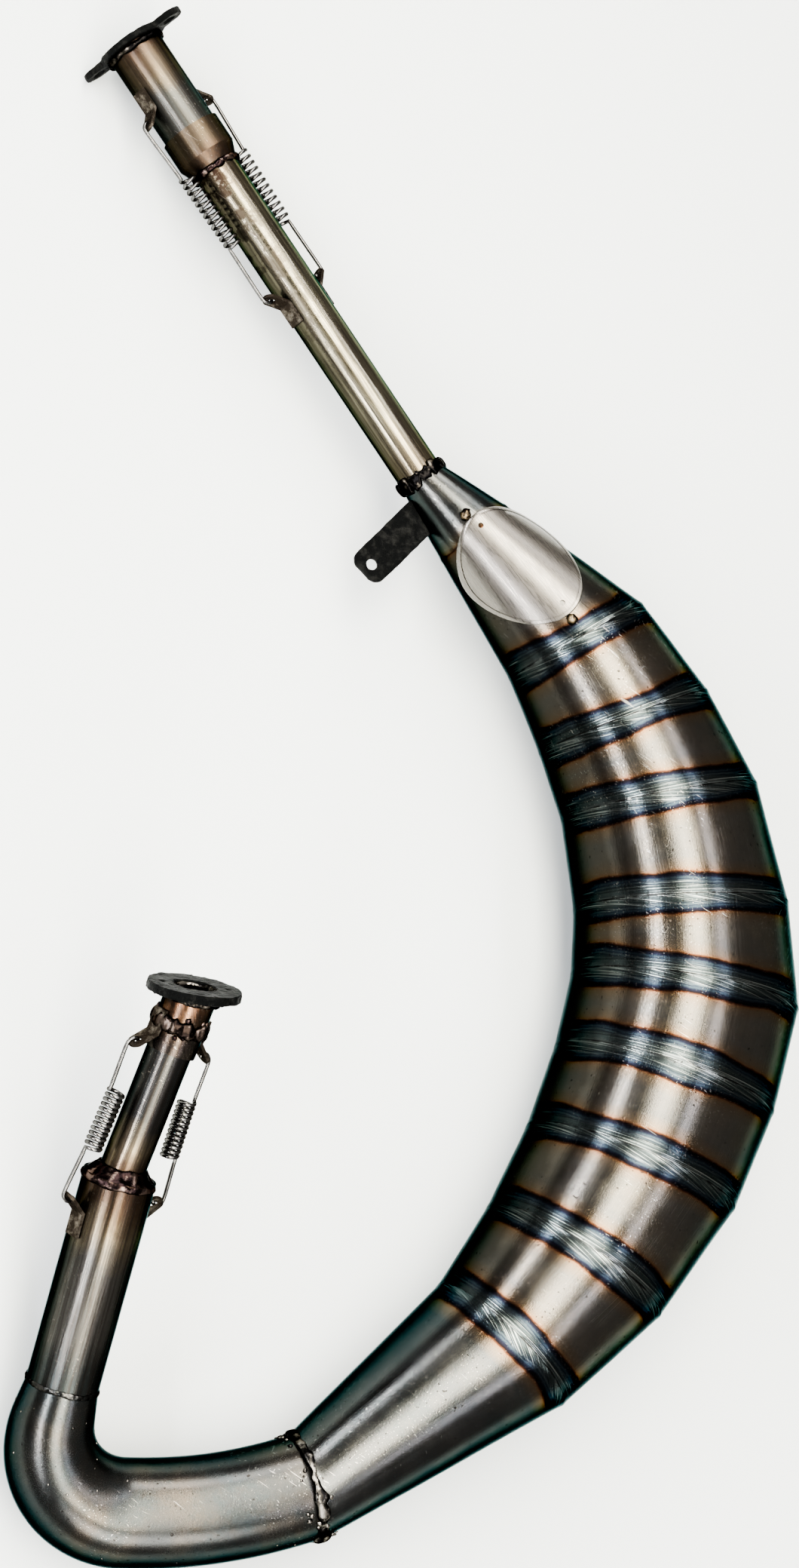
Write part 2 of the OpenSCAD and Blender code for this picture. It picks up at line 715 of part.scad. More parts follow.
module elbow_weld() {
    color("#6f6a64") lay() swept_shell(
        [for (t = bead_steps) elbow_ring(t, -bead_rise(t))],
        [for (t = bead_steps) elbow_ring(t, -bead_gap)],
        cone_sides
    );
}

module diffuser_weld() {
    color("#4b4743") lay() swept_shell(
        [for (t = bead_steps) diffuser_ring(t, -bead_rise(t))],
        [for (t = bead_steps) diffuser_ring(t, -bead_gap)],
        cone_sides
    );
}

module diffuser_cone() { color("#8f8c87") sheet(0); }
module chamber_segment_1() { color("#8a8177") sheet(1); }
module chamber_segment_2() { color("#8a8177") sheet(2); }
module chamber_segment_3() { color("#8a8177") sheet(3); }
module chamber_segment_4() { color("#8a8177") sheet(4); }
module chamber_segment_5() { color("#8a8177") sheet(5); }
module chamber_segment_6() { color("#8a8177") sheet(6); }
module chamber_segment_7() { color("#8a8177") sheet(7); }
module chamber_segment_8() { color("#8a8177") sheet(8); }
module baffle_cone() { color("#9a9389") sheet(9); }
module tail_cone() { color("#9a9389") sheet(10); }

module stinger_weld() {
    color("#2a2725") lay() swept_shell(
        [for (t = bead_steps) stinger_ring(t, -bead_rise(t))],
        [for (t = bead_steps) stinger_ring(t, -bead_gap)],
        cone_sides
    );
}

module stinger_tube() {
    color("#b0a58f") lay() difference() {
        place(stinger_start - cut_over * stinger_dir, stinger_dir, stinger_side)
            tube(stinger_d, tube_wall, stinger_len + cut_over);
        beyond(seam_point(cones), -seam_normal(cones));
    }
}

// A cup that is open upwards, on a tapered base that the stinger passes through
module stinger_cup() {
    color("#8b7f70") lay() place(cup_floor, stinger_dir, stinger_side)
        rotate_extrude() polygon([
            [stinger_d / 2 + seat_gap, -cup_taper],
            [stinger_d / 2 + cup_wall, -cup_taper],
            [cup_d / 2, 0],
            [cup_d / 2, cup_depth],
            [cup_bore_d / 2, cup_depth],
            [cup_bore_d / 2, 0],
            [stinger_d / 2 + seat_gap, 0]
        ]);
}

module cup_weld() {
    color("#5a4136") lay() difference() {
        place(cup_floor - cup_taper * stinger_dir, -stinger_dir, stinger_side)
            corner_bead(stinger_d / 2, bead_h);
        rod(cup_floor, stinger_dir, stinger_d);
    }
}

module outlet_sleeve() {
    color("#8a7b69") lay() place(sleeve_start, stinger_dir, stinger_side)
        tube(sleeve_d, sleeve_wall, sleeve_len);
}

module outlet_tab(s) {
    color("#5e5750") lay() place(outlet_tab_at, -stinger_dir, s * outlet_out) tab(sleeve_d / 2);
}
module outlet_tab_left() { outlet_tab(1); }
module outlet_tab_right() { outlet_tab(-1); }

module stinger_tab(s) {
    color("#6e6459") lay() place(stinger_tab_at, stinger_dir, s * outlet_out) tab(stinger_d / 2);
}
module stinger_tab_left() { stinger_tab(1); }
module stinger_tab_right() { stinger_tab(-1); }

module outlet_spring(s) {
    a = outlet_tab_at - hook_along() * stinger_dir + s * hook_out(sleeve_d / 2) * outlet_out;
    b = stinger_tab_at + hook_along() * stinger_dir + s * hook_out(stinger_d / 2) * outlet_out;
    color("#b9b9b7") lay() wire(spring_path(a, s * outlet_out, -stinger_dir, b, s * outlet_out,
        stinger_dir, outlet_coil_pitch));
}
module outlet_spring_left() { outlet_spring(1); }
module outlet_spring_right() { outlet_spring(-1); }

module outlet_flange_weld() {
    color("#2f2a26") lay() difference() {
        place(outlet_back, -stinger_dir, stinger_side) corner_bead(sleeve_d / 2, bead_h);
        rod(outlet_back, stinger_dir, sleeve_d);
    }
}

// A round plate with two ears for studs
module outlet_flange() {
    color("#45413c") lay() place(outlet_back, stinger_dir, stinger_side) rotate([0, 0, outlet_ear_turn])
        difference() {
            linear_extrude(outlet_flange_t) union() {
                circle(d = outlet_flange_d);
                square([outlet_hole_pcd, outlet_ear_w], center = true);
                for (s = [-1, 1]) translate([s * outlet_hole_pcd / 2, 0]) circle(d = outlet_ear_w);
            }
            translate([0, 0, -1]) cylinder(d = outlet_bore_d, h = outlet_flange_t + 2);
            for (s = [-1, 1]) translate([s * outlet_hole_pcd / 2, 0, -1])
                cylinder(d = outlet_hole_d, h = outlet_flange_t + 2);
        }
}

// Direction and side of the tail cone, from the stinger's end
tail = cones - 1;
tail_dir = -heading(cone_heading[tail]);
tail_side = flat_side(tail_dir);
bracket_end = bracket_reach + bracket_edge - bracket_corner;
bracket_side = bracket_w / 2 - bracket_corner;

// A flat tab on the side of the tail cone, with two rounded corners and a hole
module mounting_bracket() {
    color("#2d2a28") lay() difference() {
        place(stinger_start, tail_dir, -tail_side) difference() {
            rotate([90, 0, 0]) translate([0, bracket_along, -bracket_t / 2]) linear_extrude(bracket_t) {
                translate([0, -bracket_w / 2]) square([bracket_end, bracket_w]);
                for (s = [-1, 1]) translate([bracket_end, s * bracket_side]) circle(r = bracket_corner);
                translate([0, -bracket_side]) square([bracket_end + bracket_corner, 2 * bracket_side]);
            }
            translate([bracket_reach, 0, bracket_along]) rotate([90, 0, 0])
                cylinder(d = bracket_hole_d, h = 4 * bracket_t, center = true);
        }
        sheet_core(tail, -seat_gap);
    }
}

// Frame of the baffle cone: Z back from the tail cone's seam, X square to the chamber's plane
baffle = cones - 2;
baffle_dir = -heading(cone_heading[baffle]);
// Height of the baffle cone's top above its axis, at a distance from the tail cone's seam
function baffle_top(x) = seam_10_d / 2 + x / baffle_len * (seam_9_d - seam_10_d) / 2;
module on_baffle() {
    place(seam_point(baffle + 1), baffle_dir, [0, 0, 1]) rotate([0, 0, badge_turn]) children();
}

// An oval sheet that follows the top of the baffle cone, left blank
module badge_plate() {
    color("#c9c9c6") lay() difference() {
        intersection() {
            swept_shell(
                sheet_rings(baffle, -seat_gap - badge_t, 0, 1 + core_over_share),
                sheet_rings(baffle, -seat_gap, 0, 1 + core_over_share),
                cone_sides
            );
            on_baffle() translate([0, 0, badge_along]) rotate([0, 90, 0]) linear_extrude(cut_block) polygon([
                for (a = [0:badge_step_angle:360 - badge_step_angle])
                    [-badge_len / 2 * cos(a), badge_w / 2 * sin(a)]
            ]);
        }
        on_baffle() for (s = [-1, 1])
            translate([0, 0, badge_along + s * (badge_len / 2 - badge_hole_inset)])
                rotate([0, 90, 0]) cylinder(d = badge_hole_d, h = cut_block);
        core(sheet_rings(tail, -seat_gap, 0, 1 + core_over_share), cone_sides);
    }
}

// Tack welds at both ends of the badge plate
module badge_tacks() {
    color("#57493f") lay() difference() {
        on_baffle() for (s = [-1, 1]) {
            z = badge_along + s * (badge_len / 2 + tack_d / 2 + seat_gap);
            translate([baffle_top(z), 0, z]) sphere(d = tack_d);
        }
        sheet_core(baffle, -seat_gap);
        sheet_core(tail, -seat_gap);
    }
}

inlet_flange();
inlet_flange_weld();
inlet_stub();
inlet_neck_weld();
inlet_socket();
inlet_tab_left();
inlet_tab_right();
inlet_spring_left();
inlet_spring_right();
header_slip_tube();
header_slip_weld();
header_tube();
header_tab_left();
header_tab_right();
elbow_weld();
header_bend();
diffuser_weld();
diffuser_cone();
chamber_segment_1();
chamber_segment_2();
chamber_segment_3();
chamber_segment_4();
chamber_segment_5();
chamber_segment_6();
chamber_segment_7();
chamber_segment_8();
baffle_cone();
tail_cone();
stinger_weld();
stinger_tube();
stinger_tab_left();
stinger_tab_right();
stinger_cup();
cup_weld();
outlet_sleeve();
outlet_tab_left();
outlet_tab_right();
outlet_spring_left();
outlet_spring_right();
outlet_flange_weld();
outlet_flange();
mounting_bracket();
badge_plate();
badge_tacks();
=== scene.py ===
"""Looks of a two-stroke racing exhaust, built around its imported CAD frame.

Units are metres in the row frame: the exhaust lies on its side, +Z up.
"""

import json
import math
import random
from collections import namedtuple

import bmesh
import bpy
import numpy as np
from mathutils import Matrix, Vector, noise


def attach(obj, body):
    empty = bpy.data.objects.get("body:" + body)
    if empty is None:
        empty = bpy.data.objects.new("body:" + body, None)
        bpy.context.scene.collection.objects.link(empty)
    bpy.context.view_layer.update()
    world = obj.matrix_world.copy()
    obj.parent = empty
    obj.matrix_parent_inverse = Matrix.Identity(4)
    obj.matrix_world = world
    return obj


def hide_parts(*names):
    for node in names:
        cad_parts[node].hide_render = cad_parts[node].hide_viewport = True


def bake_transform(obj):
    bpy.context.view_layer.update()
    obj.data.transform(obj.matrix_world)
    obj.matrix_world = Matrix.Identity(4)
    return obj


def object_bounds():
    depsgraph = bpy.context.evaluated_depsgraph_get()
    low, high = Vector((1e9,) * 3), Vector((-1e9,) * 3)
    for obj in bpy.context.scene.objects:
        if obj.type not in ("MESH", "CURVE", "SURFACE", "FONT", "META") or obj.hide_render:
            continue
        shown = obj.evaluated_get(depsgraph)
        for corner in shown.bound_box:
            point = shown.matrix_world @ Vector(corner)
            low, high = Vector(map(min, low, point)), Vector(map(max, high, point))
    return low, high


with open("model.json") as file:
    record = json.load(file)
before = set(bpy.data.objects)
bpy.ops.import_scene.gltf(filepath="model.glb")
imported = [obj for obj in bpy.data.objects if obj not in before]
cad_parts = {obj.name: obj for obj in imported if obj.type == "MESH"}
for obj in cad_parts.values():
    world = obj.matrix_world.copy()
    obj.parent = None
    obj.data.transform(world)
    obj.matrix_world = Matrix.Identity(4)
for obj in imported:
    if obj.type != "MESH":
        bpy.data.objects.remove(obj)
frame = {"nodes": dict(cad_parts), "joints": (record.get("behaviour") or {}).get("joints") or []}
CAD_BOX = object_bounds()
NODES = frame["nodes"]
MM = 0.001

CHAMBER = "chamber"
INLET = "inlet_neck"
OUTLET = "outlet_neck"
SHEETS = ["diffuser_cone"] + [f"chamber_segment_{k}" for k in range(1, 9)] + ["baffle_cone", "tail_cone"]

# Shader helpers


def tone(red, green, blue):
    """A colour given as 0 to 255 on a screen, as the linear colour that a shader takes."""
    parts = [c / 255 for c in (red, green, blue)]
    return tuple(c / 12.92 if c < 0.04 else ((c + 0.055) / 1.055) ** 2.4 for c in parts) + (1.0,)


def make(tree, kind, inputs=None, **settings):
    """A shader node with its settings, and its inputs as values or as links."""
    node = tree.nodes.new(kind)
    for name, value in settings.items():
        setattr(node, name, value)
    for name, value in (inputs or {}).items():
        if isinstance(value, bpy.types.NodeSocket):
            tree.links.new(value, node.inputs[name])
        else:
            node.inputs[name].default_value = value
    return node


def maths(tree, operation, a, b):
    return make(tree, "ShaderNodeMath", {0: a, 1: b}, operation=operation).outputs[0]


def plus(tree, a, b):
    return maths(tree, "ADD", a, b)


def times(tree, a, b):
    return maths(tree, "MULTIPLY", a, b)


def vector_maths(tree, operation, a, b, output="Vector"):
    inputs = {0: a, "Scale": b} if operation == "SCALE" else {0: a, 1: b}
    return make(tree, "ShaderNodeVectorMath", inputs, operation=operation).outputs[output]


def remap(tree, value, low, high, to_low, to_high):
    inputs = {0: value, 1: low, 2: high, 3: to_low, 4: to_high}
    return make(tree, "ShaderNodeMapRange", inputs).outputs[0]


def rising(tree, value, edges, most=1.0):
    """0 before the first edge and most after the second."""
    return remap(tree, value, edges[0], edges[1], 0.0, most)


def ramp(tree, value, stops):
    """Colours at places from 0 to 1."""
    node = make(tree, "ShaderNodeValToRGB", {0: value})
    elements = node.color_ramp.elements
    while len(elements) < len(stops):
        elements.new(0.5)
    for element, (place, colour) in zip(elements, stops):
        element.position = place
        element.color = colour
    return node.outputs[0]


def mix(tree, share, a, b, blend="MIX"):
    node = make(tree, "ShaderNodeMix", data_type="RGBA", blend_type=blend)
    for place, value in ((0, share), (6, a), (7, b)):
        if isinstance(value, bpy.types.NodeSocket):
            tree.links.new(value, node.inputs[place])
        else:
            node.inputs[place].default_value = value
    return node.outputs[2]


def place_of(tree):
    return make(tree, "ShaderNodeTexCoord").outputs["Object"]


def stretched(tree, where, scale):
    return make(tree, "ShaderNodeMapping", {"Vector": where, "Scale": scale}).outputs[0]


def turned(tree, where, rotation):
    return make(tree, "ShaderNodeMapping", {"Vector": where, "Rotation": rotation}).outputs[0]


def speckle(tree, where, scale, detail=4.0, roughness=0.55):
    """Noise from 0 to 1. scale is the number of its lumps per metre."""
    inputs = {"Vector": where, "Scale": scale, "Detail": detail, "Roughness": roughness}
    return make(tree, "ShaderNodeTexNoise", inputs).outputs["Fac"]


# Nearly all of the noise lies between these
NOISE_LOW = 0.3
NOISE_HIGH = 0.7


def spread(tree, value, low, high):
    """Noise, brought to the range from low to high."""
    return remap(tree, value, NOISE_LOW, NOISE_HIGH, low, high)


def attribute(tree, name, output="Fac"):
    return make(tree, "ShaderNodeAttribute", attribute_name=name).outputs[output]


def bumped(tree, height, strength, distance):
    inputs = {"Height": height, "Strength": strength, "Distance": distance}
    return make(tree, "ShaderNodeBump", inputs).outputs[0]


def new_metal(name, roughness, edge_tint, metallic=1.0):
    """An empty metal, as its material, its tree and its shader."""
    material = bpy.data.materials.new(name)
    material.use_nodes = True
    tree = material.node_tree
    shader = tree.nodes["Principled BSDF"]
    shader.inputs["Metallic"].default_value = metallic
    shader.inputs["Roughness"].default_value = roughness
    shader.inputs["Specular Tint"].default_value = edge_tint
    return material, tree, shader


def link(tree, socket, shader, name):
    tree.links.new(socket, shader.inputs[name])


# Scratches: the turn of each set, and its lines per metre along and across
SCRATCH_SETS = [((0.3, 0.2, 0.7), 45, 1300), ((0.5, -0.4, 2.2), 60, 1500)]
SCRATCH_EDGES = (0.69, 0.75)
SCRATCH_PATCH_SCALE = 17
SCRATCH_PATCH_EDGES = (0.48, 0.62)
SCRATCH_RARE = 0.2


def scratches(tree, where):
    """Thin marks in two directions, thick in some patches and rare elsewhere."""
    marks = []
    for rotation, along, across in SCRATCH_SETS:
        lines = stretched(tree, turned(tree, where, rotation), (along, across, across))
        marks.append(rising(tree, speckle(tree, lines, 1.0, 1.0, 0.5), SCRATCH_EDGES))
    patch = speckle(tree, where, SCRATCH_PATCH_SCALE, 2.0)
    patch = remap(tree, patch, *SCRATCH_PATCH_EDGES, SCRATCH_RARE, 1.0)
    return times(tree, maths(tree, "MAXIMUM", *marks), patch)


# Painted shade on the sides that turn down: how much of each colour it lets through, and where it starts
# as a side turns down
BROWN_FLANK_SHADE = (0.15, 0.15, 0.14, 1.0)
# The teal one is painted shade and also a painted reflection of a dark teal surface
TEAL_FLANK_SHADE = (0.3, 0.4, 0.42, 1.0)
FLANK_SHADE_EDGES = (0.78, 0.4)
FLANK_SHADE_MOST = 0.9
FLANK_SHADE_SCALE = 26
FLANK_SHADE_RAGGED = 0.1


def painted_flank_shade(tree, where, colour, flank_shade_tint=BROWN_FLANK_SHADE):
    """Painted shade: darkens the sides that turn down, with a ragged edge."""
    normal = make(tree, "ShaderNodeNewGeometry").outputs["Normal"]
    up = vector_maths(tree, "DOT_PRODUCT", normal, (0.0, 0.0, 1.0), "Value")
    ragged = spread(tree, speckle(tree, where, FLANK_SHADE_SCALE, 5.0), -FLANK_SHADE_RAGGED, FLANK_SHADE_RAGGED)
    share = rising(tree, plus(tree, up, ragged), FLANK_SHADE_EDGES, FLANK_SHADE_MOST)
    return mix(tree, share, colour, flank_shade_tint, "MULTIPLY")


# Colours of the heat tint, by distance in mm from a seam
TINT_REACH_MM = 18.0
TINT_STOPS = [
    (0.0, tone(76, 81, 80)),
    (0.8, tone(56, 63, 63)),
    (3.4, tone(48, 55, 55)),
    (4.3, tone(33, 39, 44)),
    (5.0, tone(57, 66, 69)),
    (5.7, tone(29, 35, 43)),
    (6.4, tone(44, 53, 59)),
    (7.4, tone(20, 22, 31)),
    (8.8, tone(17, 13, 13)),
    (9.5, tone(62, 39, 27)),
    (10.1, tone(96, 74, 55)),
    (11.6, tone(92, 81, 68)),
]
TINT_END_MM = 12.5
BARE_MM = 17.0
# Tint of the reflection at grazing angles: a painted reflection of a dark teal surface, darkening the
# rims
TEAL_EDGE_REFLECTION = tone(96, 134, 136)
PATINA = tone(57, 65, 66)
GROUND_BRIGHT = tone(132, 137, 134)
GROUND_DULL = tone(34, 36, 37)
GROUND_EDGES_MM = (6.2, 3.8)
CRACK_TONE = tone(24, 23, 23)
CRACK_EDGES_MM = (0.45, 0.2)
PIT_TONE = tone(30, 26, 23)
SCRATCH_TONE = tone(158, 155, 149)
# Noise scales of the sheets, in lumps per metre
SWAY_SCALE = 20
WARM_SCALE = 34
STAIN_SCALE = 48
CLOUD_SCALE = 55
CRACK_SCALE = 110
RAGGED_SCALE = 300
PIT_SCALE = 560
GRAIN_SCALE = 1150
# Stretch of the grinder's lines and of the rolling marks, round and along a sheet
GRINDER_STRETCH = (1.6, 1.6, 2600)
ROLLER_STRETCH = (190, 190, 9)


def sheet_steel(name, grey, warm, roughness, patina, flank_shade_tint):
    """Bare satin sheet with heat-tinted bands along its welded seams."""
    material, tree, shader = new_metal(name, roughness, TEAL_EDGE_REFLECTION)
    where = place_of(tree)
    nearest = maths(tree, "MINIMUM", attribute(tree, "from_start"), attribute(tree, "from_end"))
    sway = spread(tree, speckle(tree, where, SWAY_SCALE, 2.0), -1.7, 1.7)
    ragged = spread(tree, speckle(tree, where, RAGGED_SCALE, 3.0), -0.22, 0.22)
    distance = plus(tree, plus(tree, nearest, sway), ragged)
    share = maths(tree, "DIVIDE", distance, TINT_REACH_MM)
    stops = TINT_STOPS + [(BARE_MM, grey)]
    tint = ramp(tree, share, [(mm / TINT_REACH_MM, colour) for mm, colour in stops])
    bare = rising(tree, distance, (TINT_END_MM, BARE_MM))
    patches = rising(tree, speckle(tree, where, WARM_SCALE, 3.0), (0.42, 0.68), 0.7)
    colour = mix(tree, times(tree, patches, bare), tint, warm)
    stain = rising(tree, speckle(tree, where, STAIN_SCALE, 6.0, 0.7), (0.47, 0.64), patina)
    colour = mix(tree, times(tree, stain, bare), colour, PATINA)
    # Lines that the grinder left along each seam, and the crack of the seam itself
    lay = attribute(tree, "lay", "Vector")
    lines = speckle(tree, stretched(tree, lay, GRINDER_STRETCH), 1.0, 1.5, 0.5)
    ground = rising(tree, distance, GROUND_EDGES_MM)
    bright = times(tree, rising(tree, lines, (0.56, 0.68), 0.8), ground)
    colour = mix(tree, bright, colour, GROUND_BRIGHT)
    dull = times(tree, rising(tree, lines, (0.44, 0.34), 0.75), ground)
    colour = mix(tree, dull, colour, GROUND_DULL)
    wavy = spread(tree, speckle(tree, where, CRACK_SCALE, 3.0), -0.3, 0.5)
    crack = rising(tree, plus(tree, nearest, wavy), CRACK_EDGES_MM, 0.85)
    colour = mix(tree, crack, colour, CRACK_TONE)
    # Pits, scratches and grain
    pits = rising(tree, speckle(tree, where, PIT_SCALE, 1.0), (0.71, 0.76), 0.75)
    colour = mix(tree, pits, colour, PIT_TONE)
    colour = mix(tree, times(tree, scratches(tree, where), 0.55), colour, SCRATCH_TONE)
    # Painted shade darkens the sides that turn down
    link(tree, painted_flank_shade(tree, where, colour, flank_shade_tint), shader, "Base Color")
    rolled = speckle(tree, stretched(tree, lay, ROLLER_STRETCH), 1.0, 3.0, 0.6)
    clouds = speckle(tree, where, CLOUD_SCALE, 4.0)
    rough = remap(tree, clouds, NOISE_LOW, 0.75, roughness - 0.03, roughness + 0.08)
    rough = plus(tree, rough, remap(tree, rolled, 0.35, NOISE_HIGH, -0.03, 0.07))
    link(tree, rough, shader, "Roughness")
    grain = speckle(tree, where, GRAIN_SCALE, 3.0, 0.65)
    height = plus(tree, times(tree, lines, ground), times(tree, grain, 0.55))
    height = maths(tree, "SUBTRACT", height, times(tree, pits, 0.8))
    height = plus(tree, height, times(tree, rolled, 0.25))
    link(tree, bumped(tree, height, 0.26, 0.25 * MM), shader, "Normal")
    return material


BRUSH_TONE = tone(58, 52, 47)
BRUSH_SCALE = 1100
BRUSH_ROUGH_SCALE = 420
# How much of the run along a tube its brush lines feel
BRUSH_RUN = 0.03
TUBE_RAGGED = 6 * MM
TUBE_RAGGED_SCALE = 70
TUBE_SCRATCH_TONE = tone(160, 152, 142)
SOOT_TONE = tone(40, 29, 23)
SOOT_SCALE = 130
SOOT_REACH = 0.75
SOOT_SIDE = (-2 * MM, 4 * MM)


def tube_steel(name, line, stops, roughness, soot):
    """Drawn tube, brushed along its axis, with colours at distances in mm along its line."""
    material, tree, shader = new_metal(name, roughness, TEAL_EDGE_REFLECTION)
    where = place_of(tree)
    way = tuple(line.way)
    away = vector_maths(tree, "SUBTRACT", where, tuple(line.start))
    run = vector_maths(tree, "DOT_PRODUCT", away, way, "Value")
    ragged = spread(tree, speckle(tree, where, TUBE_RAGGED_SCALE, 5.0), -TUBE_RAGGED, TUBE_RAGGED)
    reach_mm = stops[-1][0]
    share = maths(tree, "DIVIDE", plus(tree, run, ragged), reach_mm * MM)
    tint = ramp(tree, share, [(mm / reach_mm, colour) for mm, colour in stops])
    # Brush lines: noise that hardly changes along the tube
    across = vector_maths(tree, "SUBTRACT", away, vector_maths(tree, "SCALE", way, run))
    slow = vector_maths(tree, "SCALE", way, times(tree, run, BRUSH_RUN))
    brushed = vector_maths(tree, "ADD", across, slow)
    lines = speckle(tree, brushed, BRUSH_SCALE, 3.0, 0.6)
    colour = mix(tree, rising(tree, lines, (0.4, 0.66), 0.7), tint, BRUSH_TONE)
    # Soot near the start of the line, most of it on one side
    blotches = rising(tree, speckle(tree, where, SOOT_SCALE, 6.0, 0.7), (0.48, 0.56))
    burnt = times(tree, blotches, remap(tree, share, 0.0, SOOT_REACH, soot, 0.0))
    sooty_side = tuple(unit(np.cross(line.way, ABOVE)))
    lean = vector_maths(tree, "DOT_PRODUCT", across, sooty_side, "Value")
    burnt = times(tree, burnt, remap(tree, lean, *SOOT_SIDE, 0.1, 1.0))
    colour = mix(tree, burnt, colour, SOOT_TONE)
    colour = mix(tree, times(tree, scratches(tree, where), 0.5), colour, TUBE_SCRATCH_TONE)
    # Painted shade darkens the sides that turn down
    link(tree, painted_flank_shade(tree, where, colour), shader, "Base Color")
    fine = speckle(tree, brushed, BRUSH_ROUGH_SCALE, 3.0)
    rough = spread(tree, fine, roughness - 0.07, roughness + 0.1)
    link(tree, plus(tree, rough, times(tree, burnt, 0.25)), shader, "Roughness")
    link(tree, bumped(tree, lines, 0.22, 0.25 * MM), shader, "Normal")
    return material


DULL_EDGE = tone(104, 104, 102)
DULL_SPECULAR = 0.12
BLOTCH_SCALE = 190
FINE_SCALE = 900


def scale_steel(name, dark, worn, wear, metallic, depth):
    """Black mill scale, rubbed bright in places."""
    material, tree, shader = new_metal(name, 0.45, DULL_EDGE, metallic)
    shader.inputs["Specular IOR Level"].default_value = DULL_SPECULAR
    where = place_of(tree)
    blotch = speckle(tree, where, BLOTCH_SCALE, 6.0, 0.65)
    fine = speckle(tree, where, FINE_SCALE, 4.0, 0.7)
    rubbed = plus(tree, blotch, times(tree, fine, 0.35))
    share = rising(tree, rubbed, (0.66, 0.86), wear)
    link(tree, mix(tree, share, dark, worn), shader, "Base Color")
    link(tree, spread(tree, blotch, 0.62, 0.36), shader, "Roughness")
    link(tree, bumped(tree, plus(tree, blotch, fine), 0.6, depth), shader, "Normal")
    return material


WELD_PATCH_SCALE = 170
WELD_GRAIN_SCALE = 1100


def weld_metal(name, dark, light, bare_share):
    """Glassy oxidised weld metal, bare in places."""
    material, tree, shader = new_metal(name, 0.25, DULL_EDGE)
    where = place_of(tree)
    patch = speckle(tree, where, WELD_PATCH_SCALE, 5.0, 0.6)
    edge = 0.66 - 0.3 * bare_share
    colour = mix(tree, rising(tree, patch, (edge - 0.05, edge + 0.05)), dark, light)
    # Painted shade darkens the sides that turn down
    link(tree, painted_flank_shade(tree, where, colour), shader, "Base Color")
    link(tree, spread(tree, patch, 0.14, 0.36), shader, "Roughness")
    grain = speckle(tree, where, WELD_GRAIN_SCALE, 3.0)
    link(tree, bumped(tree, grain, 0.35, 0.3 * MM), shader, "Normal")
    return material


WIRE_TONE = tone(104, 103, 101)
WIRE_DARK = tone(56, 54, 52)
WIRE_SCALE = 240


def bright_wire():
    """Spring wire, darker in patches."""
    material, tree, shader = new_metal("bright_wire", 0.22, DULL_EDGE)
    share = rising(tree, speckle(tree, place_of(tree), WIRE_SCALE, 3.0), (0.4, 0.7), 0.6)
    link(tree, mix(tree, share, WIRE_TONE, WIRE_DARK), shader, "Base Color")
    return material


PLAIN_EDGE = (1.0, 1.0, 1.0, 1.0)
BADGE_TONE = tone(118, 114, 108)
BADGE_DARK = tone(98, 94, 88)
BADGE_BRUSH_TURN = math.radians(55)
BADGE_BRUSH_STRETCH = (60, 2000, 400)


def badge_metal():
    """Satin plate, brushed finely and left blank."""
    material, tree, shader = new_metal("badge_metal", 0.34, PLAIN_EDGE)
    brushed = turned(tree, place_of(tree), (0.0, 0.0, BADGE_BRUSH_TURN))
    lines = speckle(tree, stretched(tree, brushed, BADGE_BRUSH_STRETCH), 1.0, 3.0, 0.6)
    colour = mix(tree, rising(tree, lines, (0.35, 0.7), 0.5), BADGE_TONE, BADGE_DARK)
    link(tree, colour, shader, "Base Color")
    link(tree, spread(tree, lines, 0.22, 0.36), shader, "Roughness")
    link(tree, bumped(tree, lines, 0.05, 0.12 * MM), shader, "Normal")
    return material


# The seams, found where neighbouring sheets of the frame share points

Seam = namedtuple("Seam", "centre normal radius")
TOUCH = 0.05 * MM


def read_vectors(mesh, kind):
    """The places (co) or the normals (normal) of a mesh's vertices."""
    flat = np.empty(len(mesh.vertices) * 3)
    mesh.vertices.foreach_get(kind, flat)
    return flat.reshape(-1, 3)


def cad_points(name):
    """The places of a CAD node's vertices, each of them once."""
    return np.unique(np.round(read_vectors(NODES[name].data, "co"), 6), axis=0)


def split_shared(points, others):
    """The points that touch others, and the rest."""
    gaps = np.linalg.norm(points[:, None] - others[None], axis=2).min(axis=1)
    return points[gaps < TOUCH], points[gaps >= TOUCH]


def unit(vector):
    return np.asarray(vector) / np.linalg.norm(vector)


def spread_axes(points):
    """Directions in which points spread, from the least to the most."""
    away = points - points.mean(axis=0)
    return np.linalg.eigh(away.T @ away)[1].T


def fit_ring(points, towards):
    """Circle through a flat ring of points. towards gives its normal's side."""
    centre = points.mean(axis=0)
    normal = spread_axes(points)[0]
    if normal @ towards < 0:
        normal = -normal
    return Seam(centre, normal, np.linalg.norm(points - centre, axis=1).max())


def find_seams():
    """The circles at the ends of all sheets, in the order of the sheets."""
    clouds = [cad_points(name) for name in SHEETS]
    rings = []
    for here, after in zip(clouds, clouds[1:]):
        common, rest = split_shared(here, after)
        if not rings:
            rings.append(rest)
        rings.append(common)
    rings.append(split_shared(clouds[-1], clouds[-2])[1])
    middles = [ring.mean(axis=0) for ring in rings]
    previous = middles[:1] + middles[:-1]
    following = middles[1:] + middles[-1:]
    ways = [b - a for a, b in zip(previous, following)]
    return [fit_ring(ring, way) for ring, way in zip(rings, ways)]


SEAMS = find_seams()
WALL = 1.0 * MM
# Square to the chamber's plane, from the turns between its seams
ABOVE = unit(sum(np.cross(a.normal, b.normal) for a, b in zip(SEAMS[1:9], SEAMS[2:10])))


# Meshes


